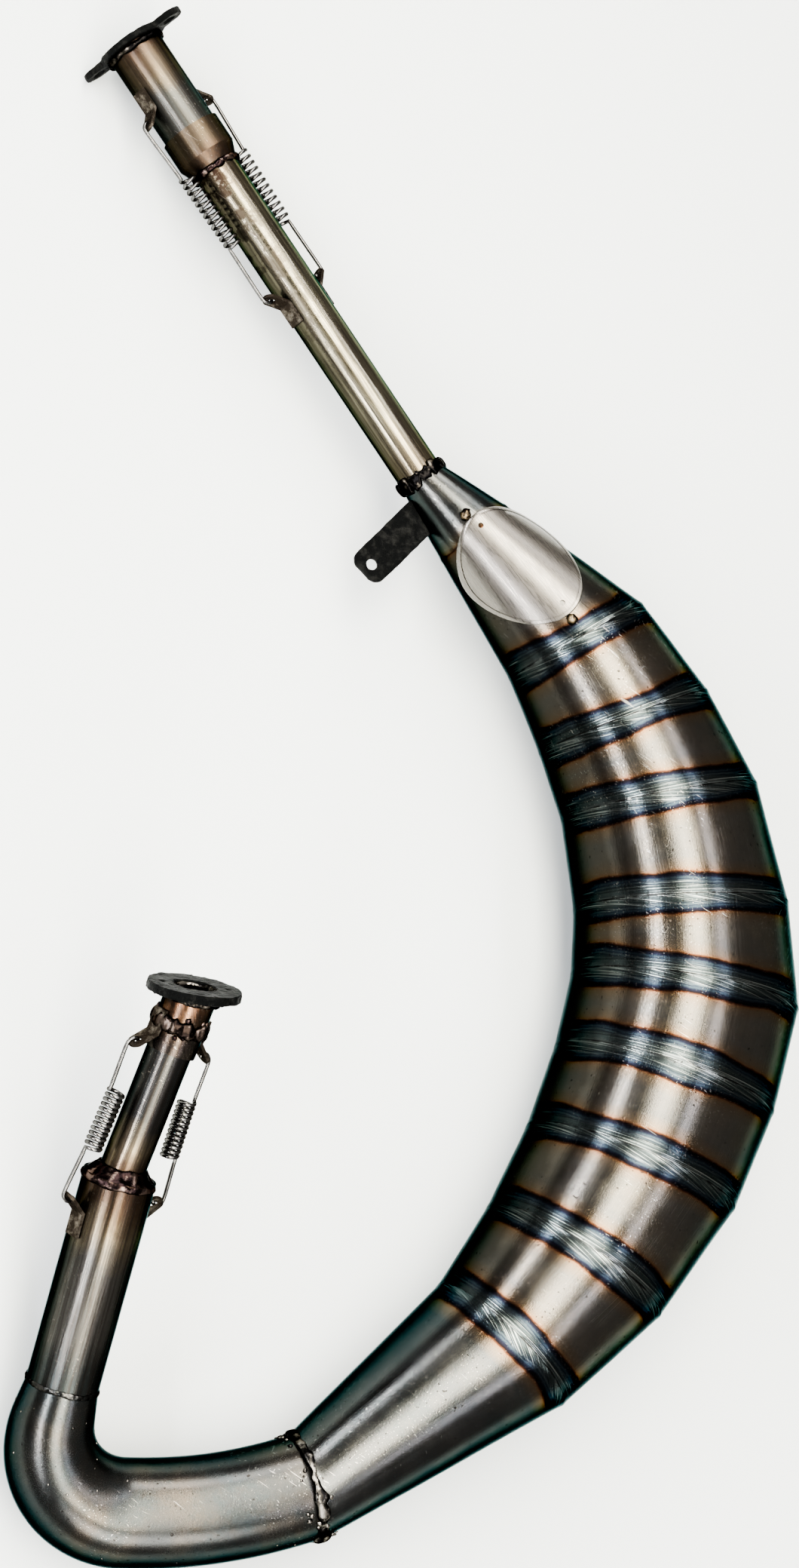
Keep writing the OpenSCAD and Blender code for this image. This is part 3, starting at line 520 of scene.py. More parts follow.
def add_piece(name, vertices, faces, material, body, replaced):
    """A piece that rides on a body, and stands for CAD nodes if any are named."""
    mesh = bpy.data.meshes.new(name)
    mesh.from_pydata([tuple(v) for v in vertices], [], faces)
    mesh.validate()
    work = bmesh.new()
    work.from_mesh(mesh)
    bmesh.ops.recalc_face_normals(work, faces=work.faces)
    work.to_mesh(mesh)
    work.free()
    mesh.materials.append(material)
    shade_smooth(mesh)
    piece = bpy.data.objects.new(name, mesh)
    bpy.context.scene.collection.objects.link(piece)
    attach(piece, body)
    if replaced:
        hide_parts(*replaced)
    return piece


def set_numbers(piece, name, values):
    layer = piece.data.attributes.new(name, "FLOAT", "POINT")
    layer.data.foreach_set("value", np.asarray(values, dtype=np.float32))


def set_vectors(piece, name, values):
    layer = piece.data.attributes.new(name, "FLOAT_VECTOR", "POINT")
    layer.data.foreach_set("vector", np.asarray(values, dtype=np.float32).ravel())


def grid_faces(rows, columns):
    """Faces of a grid whose columns close round and whose rows close too."""
    faces = []
    for j in range(rows):
        low = j * columns
        up = (j + 1) % rows * columns
        for i in range(columns):
            after = (i + 1) % columns
            faces.append((low + i, low + after, up + after, up + i))
    return faces


SHEET_AROUND = 160
SHEET_ALONG = 40
# Distance given where there is no tint, and the distance added where the tint is faint
FAR_MM = 200.0
FAINT_MM = 9.0
RIDGE_H = 0.3 * MM
RIDGE_W_MM = 1.3
RIDGE_SCALE = 420
DENT_H = 0.3 * MM
DENT_SCALE = 24
DENT_FREE_MM = 9


def sheet_piece(k, material):
    """Sheet k from its seam to the next, with a welded ridge at its ends and slight dents."""
    first, last = SEAMS[k], SEAMS[k + 1]
    angles = -math.pi / 2 + 2 * math.pi * np.arange(SHEET_AROUND) / SHEET_AROUND
    turns = np.stack([np.cos(angles), np.sin(angles)], axis=1)

    def circle(seam, inset):
        side = np.cross(ABOVE, seam.normal)
        return seam.centre + (seam.radius - inset) * (turns[:, :1] * side + turns[:, 1:] * ABOVE)

    start, end = circle(first, 0), circle(last, 0)
    outward = [unit(p - first.centre) + unit(q - last.centre) for p, q in zip(start, end)]
    lengths = np.linalg.norm(end - start, axis=1)
    rows, begin, finish, lay = [], [], [], []
    for j in range(SHEET_ALONG + 1):
        share = (1 - math.cos(math.pi * j / SHEET_ALONG)) / 2
        row = start + share * (end - start)
        from_start = lengths * share / MM
        from_end = lengths * (1 - share) / MM
        for i in range(SHEET_AROUND):
            gap = min(from_start[i], from_end[i])
            lump = 0.7 + 0.6 * noise.noise(Vector(row[i]) * RIDGE_SCALE)
            ridge = RIDGE_H * lump * math.exp(-((gap / RIDGE_W_MM) ** 2))
            dent = DENT_H * noise.noise(Vector(row[i]) * DENT_SCALE) * min(1.0, gap / DENT_FREE_MM)
            row[i] += unit(outward[i]) * (ridge + dent)
        rows.append(row)
        begin.append(from_start)
        finish.append(from_end)
        lay.append(np.column_stack([turns, lengths * share]))
    for seam, sample in ((last, -1), (first, 0)):
        rows.append(circle(seam, WALL))
        begin.append(begin[sample])
        finish.append(finish[sample])
        lay.append(lay[sample])
    faces = grid_faces(len(rows), SHEET_AROUND)
    name, vertices = SHEETS[k], np.concatenate(rows)
    piece = add_piece(f"sheet_{name}", vertices, faces, material, CHAMBER, [name])
    begin, finish = np.concatenate(begin), np.concatenate(finish)
    if k == 0:
        begin[:] = FAR_MM
    if k == len(SHEETS) - 2:
        finish += FAINT_MM
    if k == len(SHEETS) - 1:
        begin += FAINT_MM
        finish[:] = FAR_MM
    set_numbers(piece, "from_start", begin)
    set_numbers(piece, "from_end", finish)
    set_vectors(piece, "lay", np.concatenate(lay))
    return piece


def apply_modifiers(piece):
    """Leaves the modified mesh on a piece, and no modifier."""
    depsgraph = bpy.context.evaluated_depsgraph_get()
    done = bpy.data.meshes.new_from_object(piece.evaluated_get(depsgraph))
    piece.modifiers.clear()
    piece.data = done
    return done


def shade_smooth(mesh):
    mesh.polygons.foreach_set("use_smooth", [True] * len(mesh.polygons))


MERGE_GAP = 0.002 * MM
FLAT_ANGLE = math.radians(20)
SKEW_ANGLE = math.radians(60)


def smooth_copy(node, name, levels, sharp_degrees):
    """A copy of a CAD node's mesh, rounded by subdivision but sharp at its edges."""
    work = bmesh.new()
    work.from_mesh(NODES[node].data)
    bmesh.ops.remove_doubles(work, verts=work.verts, dist=MERGE_GAP)
    limit = math.radians(sharp_degrees)
    bmesh.ops.join_triangles(
        work,
        faces=work.faces,
        angle_face_threshold=FLAT_ANGLE,
        angle_shape_threshold=SKEW_ANGLE,
    )
    crease = work.edges.layers.float.new("crease_edge")
    for edge in work.edges:
        if len(edge.link_faces) == 2 and edge.calc_face_angle() > limit:
            edge[crease] = 1.0
    mesh = bpy.data.meshes.new(name)
    work.to_mesh(mesh)
    work.free()
    mesh.materials.clear()
    piece = bpy.data.objects.new(name, mesh)
    bpy.context.scene.collection.objects.link(piece)
    rounder = piece.modifiers.new("round", "SUBSURF")
    rounder.levels = levels
    rounder.render_levels = levels
    shade_smooth(apply_modifiers(piece))
    return piece


BEND_LEVELS = 2
BEND_SHARP_DEGREES = 35
BEND_LAY_SCALE = 20


def add_bend(material):
    """The bend as one smooth sheet without heat tint."""
    piece = smooth_copy("header_bend", "bend_sheet", BEND_LEVELS, BEND_SHARP_DEGREES)
    piece.data.materials.append(material)
    points = read_vectors(piece.data, "co")
    set_numbers(piece, "from_start", np.full(len(points), FAR_MM))
    set_numbers(piece, "from_end", np.full(len(points), FAR_MM))
    set_vectors(piece, "lay", points * BEND_LAY_SCALE)
    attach(piece, CHAMBER)
    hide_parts("header_bend")
    return piece


ROUGH_GRAIN = 0.5 * MM
ROUGH_DEPTH = 0.3 * MM
ROUGH_SCALE = 180
ROUGH_FINE_SCALE = 520
ROUGH_FINE_SHARE = 0.6


def rough_copy(node, material, body):
    """A CAD plate as rough forged steel: its edges are worn and its faces are uneven."""
    mesh = NODES[node].data.copy()
    mesh.materials.clear()
    mesh.materials.append(material)
    piece = bpy.data.objects.new(f"rough_{node}", mesh)
    bpy.context.scene.collection.objects.link(piece)
    grain = piece.modifiers.new("grain", "REMESH")
    grain.mode = "VOXEL"
    grain.voxel_size = ROUGH_GRAIN
    done = apply_modifiers(piece)
    points = read_vectors(done, "co")
    lumps = []
    for point in points:
        fine = noise.noise(Vector(point) * ROUGH_FINE_SCALE)
        lumps.append(noise.noise(Vector(point) * ROUGH_SCALE) + ROUGH_FINE_SHARE * fine)
    points += ROUGH_DEPTH * np.array(lumps)[:, None] * read_vectors(done, "normal")
    done.vertices.foreach_set("co", points.ravel())
    shade_smooth(done)
    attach(piece, body)
    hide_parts(node)
    return piece


# Tubes, welds, springs and the badge plate

Line = namedtuple("Line", "start way length")


def line_of(node, towards):
    """Axis of a CAD tube from its first end, the way that towards points."""
    points = cad_points(node)
    centre = points.mean(axis=0)
    way = max(spread_axes(points), key=lambda v: abs(v @ towards))
    way = way if way @ towards > 0 else -way
    runs = (points - centre) @ way
    return Line(centre + runs.min() * way, way, runs.max() - runs.min())


BEAD_AROUND = 200
BEAD_SECTION = 14
BEAD_BINS = 60
# Any direction that isn't near an axis of the part
ASKEW = (0.31, 0.82, 0.47)


def bead_ring(node):
    """Weld ring of a CAD node: its centre, its axes and its section's box at every angle."""
    points = cad_points(node)
    centre = points.mean(axis=0)
    axis = spread_axes(points)[0]
    side = unit(np.cross(axis, ASKEW))
    other = np.cross(axis, side)
    away = points - centre
    angle = np.arctan2(away @ other, away @ side)
    radius = np.hypot(away @ other, away @ side)
    rise = away @ axis
    bins = np.floor((angle + math.pi) / (2 * math.pi) * BEAD_BINS).astype(int) % BEAD_BINS
    used = [k for k in range(BEAD_BINS) if (bins == k).sum() > 2]
    middles = [-math.pi + 2 * math.pi * (k + 0.5) / BEAD_BINS for k in used]
    turns = -math.pi + 2 * math.pi * np.arange(BEAD_AROUND) / BEAD_AROUND

    def everywhere(values, pick):
        picked = [pick(values[bins == k]) for k in used]
        return np.interp(turns, middles, picked, period=2 * math.pi)

    box = [everywhere(values, pick) for values in (radius, rise) for pick in (np.min, np.max)]
    return centre, axis, side, other, turns, box


def plain_ring(centre, axis, low, high, down, up):
    """The same as bead_ring, for a ring of one section all round."""
    side = unit(np.cross(axis, ASKEW))
    turns = -math.pi + 2 * math.pi * np.arange(BEAD_AROUND) / BEAD_AROUND
    box = [np.full(BEAD_AROUND, value) for value in (low, high, down, up)]
    return centre, axis, side, np.cross(axis, side), turns, box


BEAD_ROOT = 0.5 * MM
BEAD_FINE = 0.3 * MM
BEAD_FINE_SCALE = 700
# Beads wander along their axis by this share of their width, in longer waves than their lumps
BEAD_WANDER = 0.35
BEAD_WANDER_SCALE = 0.6
BEAD_WANDER_SHIFT = Vector((7, 3, 1))


def add_ring(name, ring, material, body, lumps, coarse, size=1.0, replaced=()):
    """Lumpy weld bead round a ring. coarse is the number of lumps per metre."""
    centre, axis, side, other, turns, box = ring
    low, high, down, up = box
    low = low - BEAD_ROOT
    vertices = []
    for i, turn in enumerate(turns):
        out = math.cos(turn) * side + math.sin(turn) * other
        rise = (high[i] - low[i]) * size
        width = up[i] - down[i]
        middle = centre + (low[i] + rise / 2) * out + (down[i] + up[i]) / 2 * axis
        swell = 1 + lumps * noise.noise(Vector(middle) * coarse)
        wave = noise.noise(Vector(middle) * coarse * BEAD_WANDER_SCALE + BEAD_WANDER_SHIFT)
        drop = BEAD_WANDER * lumps * width * wave
        for j in range(BEAD_SECTION):
            a = 2 * math.pi * j / BEAD_SECTION
            point = middle + (drop + math.sin(a) * width / 2 * size * swell) * axis
            point = point + math.cos(a) * rise / 2 * swell * out
            point = point + BEAD_FINE * noise.noise(Vector(point) * BEAD_FINE_SCALE) * out
            vertices.append(point)
    faces = grid_faces(len(turns), BEAD_SECTION)
    return add_piece(name, vertices, faces, material, body, replaced)


def add_bead(node, material, body, lumps, coarse, size=1.0):
    """Lumpy weld bead in the place of a smooth CAD one."""
    return add_ring(f"bead_{node}", bead_ring(node), material, body, lumps, coarse, size, [node])


# Section of the collar that closes the header's end: the share of the way from
# the slip tube (0) to the header (1), and the height in mm over the header's end
COLLAR = [
    (-0.1, 4.4),
    (0.1, 4.2),
    (0.24, 2.9),
    (0.42, 1.7),
    (0.62, 0.8),
    (0.84, 0.1),
    (1.02, -1.0),
    (1.08, -2.4),
    (1.04, -3.4),
    (0.9, -3.4),
    (0.5, -2.2),
    (-0.1, -1.0),
]
COLLAR_LUMP = 0.95 * MM
COLLAR_SCALE = 260
COLLAR_FINE_SCALE = 560
COLLAR_FINE_SHARE = 0.25


def add_collar(node, tube, material, body, way):
    """Rough sloping weld from a slip tube down to the edge of a wider tube."""
    centre, axis, side, other, turns, box = bead_ring(node)
    axis = axis if axis @ way > 0 else -axis
    away = cad_points(tube) - centre
    runs = away @ axis
    radii = np.linalg.norm(away - np.outer(runs, axis), axis=1)
    outer = radii[runs > runs.max() - MM].max()
    inner = box[0].mean() + BEAD_ROOT
    vertices = []
    for turn in turns:
        out = math.cos(turn) * side + math.sin(turn) * other
        for share, height in COLLAR:
            radius = inner + share * (outer - inner)
            point = centre + radius * out + (runs.max() + height * MM) * axis
            fine = noise.noise(Vector(point) * COLLAR_FINE_SCALE)
            lump = noise.noise(Vector(point) * COLLAR_SCALE) + COLLAR_FINE_SHARE * fine
            vertices.append(point + COLLAR_LUMP * lump * (0.8 * axis + 0.35 * out))
    faces = grid_faces(len(turns), len(COLLAR))
    return add_piece(f"collar_{node}", vertices, faces, material, body, [node])


BLOB_LEVELS = 2
BLOB_LUMP = 0.45
BLOB_LUMP_SCALE = 1.6
BLOB_SHIFT_SCALE = 900
BLOB_FLATNESS = 0.6


def add_blobs(name, spots, material, body, replaced=()):
    """Small flat lumps of weld at spots: each a place, the way out of the surface and a radius."""
    ball = bmesh.new()
    bmesh.ops.create_icosphere(ball, subdivisions=BLOB_LEVELS, radius=1.0)
    ball.verts.index_update()
    points = [v.co.copy() for v in ball.verts]
    corners = [[v.index for v in face.verts] for face in ball.faces]
    ball.free()
    vertices, faces = [], []
    for place, out, radius in spots:
        turn = Vector((0, 0, 1)).rotation_difference(Vector(out)).to_matrix()
        first = len(vertices)
        shift = Vector(place) * BLOB_SHIFT_SCALE
        for p in points:
            lump = 1 + BLOB_LUMP * noise.noise(p * BLOB_LUMP_SCALE + shift)
            flat = Vector((p.x, p.y, BLOB_FLATNESS * p.z))
            vertices.append(Vector(place) + turn @ flat * radius * lump)
        faces += [[first + k for k in face] for face in corners]
    return add_piece(name, vertices, faces, material, body, replaced)


def tack_spots(node):
    """The two tacks of the badge plate, as spots."""
    points = cad_points(node)
    along = (points - points.mean(axis=0)) @ spread_axes(points)[-1]
    wide, narrow = SEAMS[-3], SEAMS[-2]
    back = unit(wide.centre - narrow.centre)
    spots = []
    for tack in (points[along < 0], points[along > 0]):
        middle = (tack.min(axis=0) + tack.max(axis=0)) / 2
        away = middle - narrow.centre
        out = unit(away - (away @ back) * back)
        spots.append((middle, out, np.linalg.norm(tack - middle, axis=1).max()))
    return spots


def spots_round(ring, dice, count, width, sizes):
    """Random spots on a ring's outside."""
    centre, axis, side, other, turns, box = ring
    spots = []
    for _ in range(count):
        k = dice.randrange(len(turns))
        out = math.cos(turns[k]) * side + math.sin(turns[k]) * other
        place = centre + box[0][k] * out + dice.uniform(-width, width) * axis
        spots.append((place, out, dice.uniform(*sizes)))
    return spots


def spots_on(piece, dice, count, sizes):
    """Random spots on a piece's surface."""
    spots = []
    for _ in range(count):
        vertex = piece.data.vertices[dice.randrange(len(piece.data.vertices))]
        spots.append((vertex.co.copy(), vertex.normal.copy(), dice.uniform(*sizes)))
    return spots


WIRE_SWELL = 0.3 * MM
WIRE_LEVELS = 1
WIRE_SHARP_DEGREES = 50


def add_spring(node, material):
    """Round wire in the place of a CAD spring, running from the chamber to a neck."""
    piece = smooth_copy(node, f"wire_{node}", WIRE_LEVELS, WIRE_SHARP_DEGREES)
    piece.data.materials.append(material)
    swell = WIRE_SWELL * read_vectors(piece.data, "normal")
    places = read_vectors(piece.data, "co") + swell
    piece.data.vertices.foreach_set("co", places.ravel())
    points = cad_points(node)
    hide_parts(node)
    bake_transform(piece)


HOLE_SIDES = 32
HOLE_DEPTH = 20 * MM
HOLE_SHARP_ANGLE = math.radians(35)


def bore_hole(piece, place, way, radius):
    """Cuts a round hole through a piece, along way."""
    bpy.ops.mesh.primitive_cylinder_add(vertices=HOLE_SIDES, radius=radius, depth=HOLE_DEPTH)
    cutter = bpy.context.object
    turn = Vector((0, 0, 1)).rotation_difference(Vector(way)).to_matrix().to_4x4()
    cutter.matrix_world = Matrix.Translation(Vector(place)) @ turn
    cut = piece.modifiers.new("hole", "BOOLEAN")
    cut.operation = "DIFFERENCE"
    cut.object = cutter
    cut.solver = "EXACT"
    bpy.context.view_layer.update()
    apply_modifiers(piece).set_sharp_from_angle(angle=HOLE_SHARP_ANGLE)
    bpy.data.objects.remove(cutter)


BADGE_HOLE_D = 2.6 * MM
BADGE_HOLE_INSET = 6 * MM
# Under 1, the plate wraps a little less far round than its width on the flat
BADGE_WRAP = 0.95
BADGE_SIDES = 120
BADGE_STEPS = 12
BADGE_UNDER = 0.05 * MM
BADGE_OVER = 0.85 * MM
BADGE_ROUNDING = 0.3 * MM
# The border groove: its depth, and its top and bottom edges as shares of the plate
GROOVE_DEPTH = 0.25 * MM
GROOVE_INNER = 0.93
GROOVE_FLOOR = (0.934, 0.944)
GROOVE_OUTER = 0.948


def add_badge(material):
    """Blank oval plate, rolled to the baffle cone."""
    wide, narrow = SEAMS[-3], SEAMS[-2]
    back = unit(wide.centre - narrow.centre)
    length = np.linalg.norm(wide.centre - narrow.centre)
    away = cad_points("badge_plate") - narrow.centre
    runs = away @ back
    upward = unit(ABOVE - (ABOVE @ back) * back)
    turns = np.arctan2(away @ np.cross(back, upward), away @ upward)
    turn = (turns.max() + turns.min()) / 2
    top = math.cos(turn) * upward + math.sin(turn) * np.cross(back, upward)
    across = np.cross(back, top)
    half_w = np.abs(away @ across).max()
    half_l = (runs.max() - runs.min()) / 2
    middle = (runs.max() + runs.min()) / 2

    def on_cone(run, sideways, lift):
        radius = narrow.radius + run / length * (wide.radius - narrow.radius) + lift
        turn = math.asin(BADGE_WRAP * sideways / radius)
        return narrow.centre + run * back + radius * (math.sin(turn) * across + math.cos(turn) * top)

    shares = [(GROOVE_INNER * k / BADGE_STEPS, BADGE_OVER) for k in range(1, BADGE_STEPS + 1)]
    shares += [(share, BADGE_OVER - GROOVE_DEPTH) for share in GROOVE_FLOOR]
    shares += [(GROOVE_OUTER, BADGE_OVER), (1 - BADGE_ROUNDING / half_w, BADGE_OVER)]
    shares += [(1.0, BADGE_OVER - BADGE_ROUNDING), (1.0, BADGE_UNDER)]
    shares += [(k / BADGE_STEPS, BADGE_UNDER) for k in range(BADGE_STEPS - 1, 0, -1)]
    vertices = []
    for share, lift in shares:
        for i in range(BADGE_SIDES):
            a = 2 * math.pi * i / BADGE_SIDES
            run = middle + share * half_l * math.cos(a)
            vertices.append(on_cone(run, share * half_w * math.sin(a), lift))
    faces = grid_faces(len(shares), BADGE_SIDES)[: (len(shares) - 1) * BADGE_SIDES]
    faces.append(tuple(reversed(range(BADGE_SIDES))))
    faces.append(tuple(range(len(vertices) - BADGE_SIDES, len(vertices))))
    piece = add_piece("badge_blank", vertices, faces, material, CHAMBER, ["badge_plate"])
    for sign in (-1, 1):
        run = middle + sign * (half_l - BADGE_HOLE_INSET)
        bore_hole(piece, on_cone(run, 0, 0), top, BADGE_HOLE_D / 2)
    return piece


# The stage


FLOOR_REACH = 12.0
FLOOR_SIDES = 64
FLOOR_TONE = tone(206, 211, 211)
FLOOR_ROUGHNESS = 0.9


def add_floor():
    """Pale round floor at the height of the lowest CAD point."""
    low, high = CAD_BOX
    middle = [(low[i] + high[i]) / 2 for i in range(2)]
    rim = []
    for i in range(FLOOR_SIDES):
        a = 2 * math.pi * i / FLOOR_SIDES
        x = middle[0] + FLOOR_REACH * math.cos(a)
        y = middle[1] + FLOOR_REACH * math.sin(a)
        rim.append((x, y, low[2]))
    material = bpy.data.materials.new("floor_paint")
    material.use_nodes = True
    shader = material.node_tree.nodes["Principled BSDF"]
    shader.inputs["Base Color"].default_value = FLOOR_TONE
    shader.inputs["Roughness"].default_value = FLOOR_ROUGHNESS
    mesh = bpy.data.meshes.new("floor")
    mesh.from_pydata(rim, [], [tuple(range(FLOOR_SIDES))])
    mesh.materials.append(material)
    floor = bpy.data.objects.new("floor", mesh)
    bpy.context.scene.collection.objects.link(floor)


def facing(place, target):
    """Where a lamp or a camera stands, turned to look at target with +Y upward."""
    back = (Vector(place) - Vector(target)).normalized()
    up = Vector((0, 1, 0))
    up = (up - up.dot(back) * back).normalized()
    turn = Matrix((up.cross(back), up, back)).transposed()
    return Matrix.Translation(place) @ turn.to_4x4()


# The camera, at the photograph's viewing angle
CAMERA_AT = Vector((-0.458, -0.149, 1.258))
CAMERA_LOOKS_AT = Vector((0.119, 0.104, -0.055))
CAMERA_LENS_MM = 72.55
CAMERA_REACH = 20
SENSOR_MM = 36


def add_camera():
    data = bpy.data.cameras.new("camera")
    data.sensor_fit = "AUTO"
    data.sensor_width = SENSOR_MM
    data.lens = CAMERA_LENS_MM
    data.clip_end = CAMERA_REACH
    camera = bpy.data.objects.new("camera", data)
    bpy.context.scene.collection.objects.link(camera)
    camera.matrix_world = facing(CAMERA_AT, CAMERA_LOOKS_AT)
    bpy.context.scene.camera = camera


BELLY = Vector((0.25, 0.1, -0.053))
STRIP_LENGTH = 2.6
# Long lamps over the belly, along Y: lean in degrees, distance, width, power and colour
STRIPS = {
    "overhead": (-13, 1.5, 0.52, 108, (1.0, 0.95, 0.83)),
    "left_strip": (-56, 1.6, 0.08, 48, (0.97, 0.97, 1.0)),
    "right_strip": (13, 1.5, 0.1, 16, (0.92, 0.91, 1.0)),
}
FILLS = {"far_fill": (0.1, 2.9, 1.7), "near_fill": (0.1, -2.7, 1.7)}
FILL_SIZE = (1.6, 1.0)
FILL_POWER = 75
FILL_COLOUR = (1.0, 0.98, 0.95)
WORLD_COLOUR = (1.0, 0.95, 0.9, 1.0)
WORLD_STRENGTH = 0.38


def add_light(name, place, size, power, colour):
    """Soft rectangular lamp that looks at the belly."""
    data = bpy.data.lights.new(name, "AREA")
    data.shape = "RECTANGLE"
    data.size, data.size_y = size
    data.energy = power
    data.color = colour
    lamp = bpy.data.objects.new(name, data)
    bpy.context.scene.collection.objects.link(lamp)
    lamp.matrix_world = facing(place, BELLY)


def add_lights():
    for name, (lean, away, width, power, colour) in STRIPS.items():
        lean = math.radians(lean)
        place = BELLY + away * Vector((math.sin(lean), 0, math.cos(lean)))
        add_light(name, place, (width, STRIP_LENGTH), power, colour)
    for name, place in FILLS.items():
        add_light(name, place, FILL_SIZE, FILL_POWER, FILL_COLOUR)
    world = bpy.data.worlds.new("studio")
    world.use_nodes = True
    background = world.node_tree.nodes["Background"]
    background.inputs["Color"].default_value = WORLD_COLOUR
    background.inputs["Strength"].default_value = WORLD_STRENGTH
    bpy.context.scene.world = world
    bpy.context.scene.view_settings.look = "AgX - Medium High Contrast"


def paint(material, *names):
    """Gives CAD nodes a material."""
    for name in names:
        NODES[name].data.materials.clear()
        NODES[name].data.materials.append(material)


BEVEL_WIDTH = 0.25 * MM
BEVEL_SEGMENTS = 2
BEVEL_ANGLE = math.radians(40)


def soften(*names):
    """Rounds the edges of CAD nodes."""
    for name in names:
        bevel = NODES[name].modifiers.new("edges", "BEVEL")
        bevel.width = BEVEL_WIDTH
        bevel.segments = BEVEL_SEGMENTS
        bevel.limit_method = "ANGLE"
        bevel.angle_limit = BEVEL_ANGLE


INLET_WAY = unit(frame["joints"][0]["axis"])
OUTLET_WAY = unit(frame["joints"][1]["axis"])

DIM_STEEL = tone(60, 61, 60)
PALE_STEEL = tone(90, 89, 85)
ELBOW_GREY = tone(66, 71, 70)
STRAW = tone(114, 104, 86)
GOLD = tone(126, 121, 103)
BROWN = tone(80, 66, 53)
CUP_TAN = tone(78, 68, 54)
SLEEVE_TAN = tone(92, 83, 68)
SLEEVE_GREY = tone(76, 77, 73)
DARK_BROWN = tone(54, 41, 34)
VIOLET = tone(78, 66, 68)
COPPER = tone(112, 82, 62)
SOCKET_BROWN = tone(60, 54, 51)
SOCKET_GREY = tone(92, 87, 79)

# Colours of each tube, by distance in mm from its outer end
HEADER_STOPS = [
    (0, DARK_BROWN),
    (12, BROWN),
    (24, STRAW),
    (38, PALE_STEEL),
    (70, PALE_STEEL),
    (88, ELBOW_GREY),
]
SLIP_STOPS = [
    (0, VIOLET),
    (12, DIM_STEEL),
    (48, DIM_STEEL),
    (62, STRAW),
    (71, BROWN),
    (78, DARK_BROWN),
]
NECK_STOPS = [(0, DARK_BROWN), (5, COPPER), (14, BROWN), (20, SOCKET_BROWN), (32, SOCKET_GREY)]
STINGER_STOPS = [(0, BROWN), (8, STRAW), (40, GOLD), (150, GOLD), (183, STRAW)]
SLEEVE_STOPS = [
    (0, DARK_BROWN),
    (6, BROWN),
    (18, SLEEVE_TAN),
    (30, SLEEVE_GREY),
    (52, SLEEVE_GREY),
    (60, SLEEVE_TAN),
]
CUP_STOPS = [(0, CUP_TAN), (9, CUP_TAN), (14, BROWN), (22, DARK_BROWN)]
# Tubes: material, nodes, the way out of the exhaust, colours, roughness and soot
TUBES = [
    ("header_steel", ["header_tube"], INLET_WAY, HEADER_STOPS, 0.24, 0.0),
    ("slip_steel", ["header_slip_tube"], INLET_WAY, SLIP_STOPS, 0.24, 0.0),
    ("neck_steel", ["inlet_stub", "inlet_socket"], INLET_WAY, NECK_STOPS, 0.24, 0.0),
    ("stinger_steel", ["stinger_tube"], OUTLET_WAY, STINGER_STOPS, 0.2, 1.0),
    ("sleeve_steel", ["outlet_sleeve"], OUTLET_WAY, SLEEVE_STOPS, 0.32, 0.0),
    ("cup_steel", ["stinger_cup"], OUTLET_WAY, CUP_STOPS, 0.34, 0.0),
]
GREY_SHEETS = ("diffuser_cone", "tail_cone")
SIDES = ("left", "right")
TAB_PLACES = ("inlet", "header", "outlet", "stinger")
TABS = [f"{place}_tab_{side}" for place in TAB_PLACES for side in SIDES]

add_camera()
BELLY_STEEL = sheet_steel(
    "belly_steel",
    grey=tone(86, 83, 78),
    warm=tone(97, 91, 80),
    roughness=0.17,
    patina=0.2,
    flank_shade_tint=BROWN_FLANK_SHADE,
)
CONE_STEEL = sheet_steel(
    "cone_steel",
    grey=tone(70, 71, 70),
    warm=tone(84, 82, 77),
    roughness=0.15,
    patina=0.4,
    flank_shade_tint=TEAL_FLANK_SHADE,
)
BEND_STEEL = sheet_steel(
    "bend_steel",
    grey=tone(61, 62, 61),
    warm=tone(83, 76, 67),
    roughness=0.21,
    patina=0.55,
    flank_shade_tint=TEAL_FLANK_SHADE,
)
for number, sheet in enumerate(SHEETS):
    sheet_piece(number, CONE_STEEL if sheet in GREY_SHEETS else BELLY_STEEL)
bend = add_bend(BEND_STEEL)

for name, nodes, outward, stops, roughness, soot in TUBES:
    line = line_of(nodes[0], -outward)
    paint(tube_steel(name, line, stops, roughness, soot), *nodes)
SCALE = scale_steel(
    "black_scale",
    dark=tone(10, 11, 11),
    worn=tone(46, 46, 44),
    wear=0.4,
    metallic=0.4,
    depth=1.0 * MM,
)
rough_copy("inlet_flange", SCALE, INLET)
rough_copy("outlet_flange", SCALE, OUTLET)
rough_copy("mounting_bracket", SCALE, CHAMBER)
TAB_STEEL = scale_steel(
    "tab_steel",
    dark=tone(46, 41, 36),
    worn=tone(112, 106, 98),
    wear=0.7,
    metallic=1.0,
    depth=0.5 * MM,
)
paint(TAB_STEEL, *TABS)
soften(*TABS)

RED_WELD = weld_metal("red_weld", tone(33, 25, 25), tone(104, 89, 82), bare_share=0.4)
BROWN_WELD = weld_metal("brown_weld", tone(26, 21, 19), tone(92, 81, 74), bare_share=0.34)
BLACK_WELD = weld_metal("black_weld", tone(16, 15, 15), tone(96, 90, 82), bare_share=0.2)
GREY_WELD = weld_metal("grey_weld", tone(30, 29, 28), tone(122, 118, 111), bare_share=0.45)
FLUSH_WELD = weld_metal("flush_weld", tone(44, 45, 44), tone(78, 77, 74), bare_share=0.4)
add_bead("inlet_flange_weld", BLACK_WELD, INLET, lumps=0.5, coarse=260)
add_bead("inlet_neck_weld", BROWN_WELD, INLET, lumps=0.7, coarse=400)
add_collar("header_slip_weld", "header_tube", RED_WELD, CHAMBER, INLET_WAY)
add_bead("elbow_weld", FLUSH_WELD, CHAMBER, lumps=0.4, coarse=150, size=0.42)
add_bead("diffuser_weld", GREY_WELD, CHAMBER, lumps=0.9, coarse=150, size=0.8)
add_bead("stinger_weld", BLACK_WELD, CHAMBER, lumps=1.0, coarse=170)
add_bead("cup_weld", RED_WELD, CHAMBER, lumps=0.9, coarse=260)
add_bead("outlet_flange_weld", BLACK_WELD, OUTLET, lumps=0.5, coarse=260)
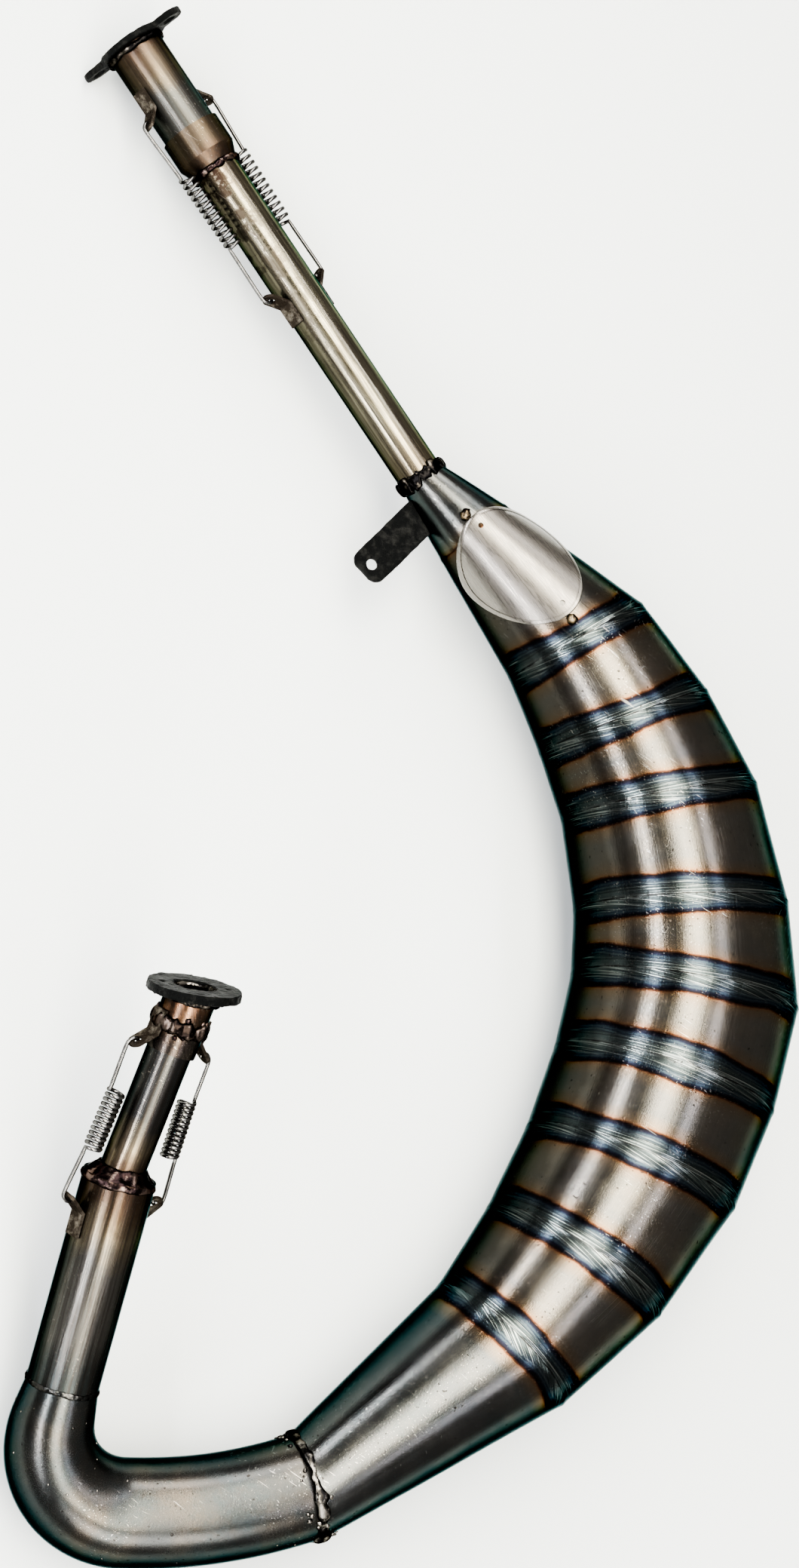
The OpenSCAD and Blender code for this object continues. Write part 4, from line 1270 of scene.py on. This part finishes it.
TACK_WELD = weld_metal("tack_weld", tone(36, 31, 26), tone(112, 98, 76), bare_share=0.4)
add_blobs("bead_badge_tacks", tack_spots("badge_tacks"), TACK_WELD, CHAMBER, ["badge_tacks"])

# Spatter on the bend and beside the welds
dice = random.Random(5)
SPATTER = weld_metal("spatter", tone(52, 50, 48), tone(128, 124, 117), bare_share=0.6)
spots = spots_on(bend, dice, count=110, sizes=(0.25 * MM, 0.7 * MM))
add_blobs("spatter_bend", spots, SPATTER, CHAMBER)
ring = bead_ring("diffuser_weld")
spots = spots_round(ring, dice, count=70, width=7 * MM, sizes=(0.5 * MM, 1.7 * MM))
add_blobs("spatter_diffuser", spots, SPATTER, CHAMBER)
ring = bead_ring("stinger_weld")
spots = spots_round(ring, dice, count=26, width=4 * MM, sizes=(0.6 * MM, 1.6 * MM))
add_blobs("spatter_stinger", spots, BLACK_WELD, CHAMBER)
ring = bead_ring("inlet_neck_weld")
spots = spots_round(ring, dice, count=26, width=5 * MM, sizes=(0.5 * MM, 1.4 * MM))
add_blobs("spatter_neck", spots, RED_WELD, INLET)

# The rough weld inside the inlet flange, and spatter on its rim
flange = cad_points("inlet_flange")
middle = flange.mean(axis=0)
way = spread_axes(flange)[0]
runs = (flange - middle) @ way
radii = np.linalg.norm(flange - middle - np.outer(runs, way), axis=1)
bore = radii.min()
rim = radii.max()
face = runs.max()
ring = plain_ring(
    middle,
    way,
    low=bore - 0.9 * MM,
    high=bore + 0.3 * MM,
    down=-0.6 * face,
    up=0.6 * face,
)
add_ring("bead_inlet_bore", ring, GREY_WELD, INLET, lumps=0.8, coarse=300)
ring = plain_ring(middle, way, low=rim - 0.2 * MM, high=rim, down=-face, up=face)
spots = spots_round(ring, dice, count=90, width=0.85 * face, sizes=(0.3 * MM, 0.8 * MM))
add_blobs("spatter_flange", spots, SCALE, INLET)

WIRE = bright_wire()
for side in SIDES:
    add_spring(f"inlet_spring_{side}", WIRE)
    add_spring(f"outlet_spring_{side}", WIRE)
add_badge(badge_metal())
add_floor()
add_lights()
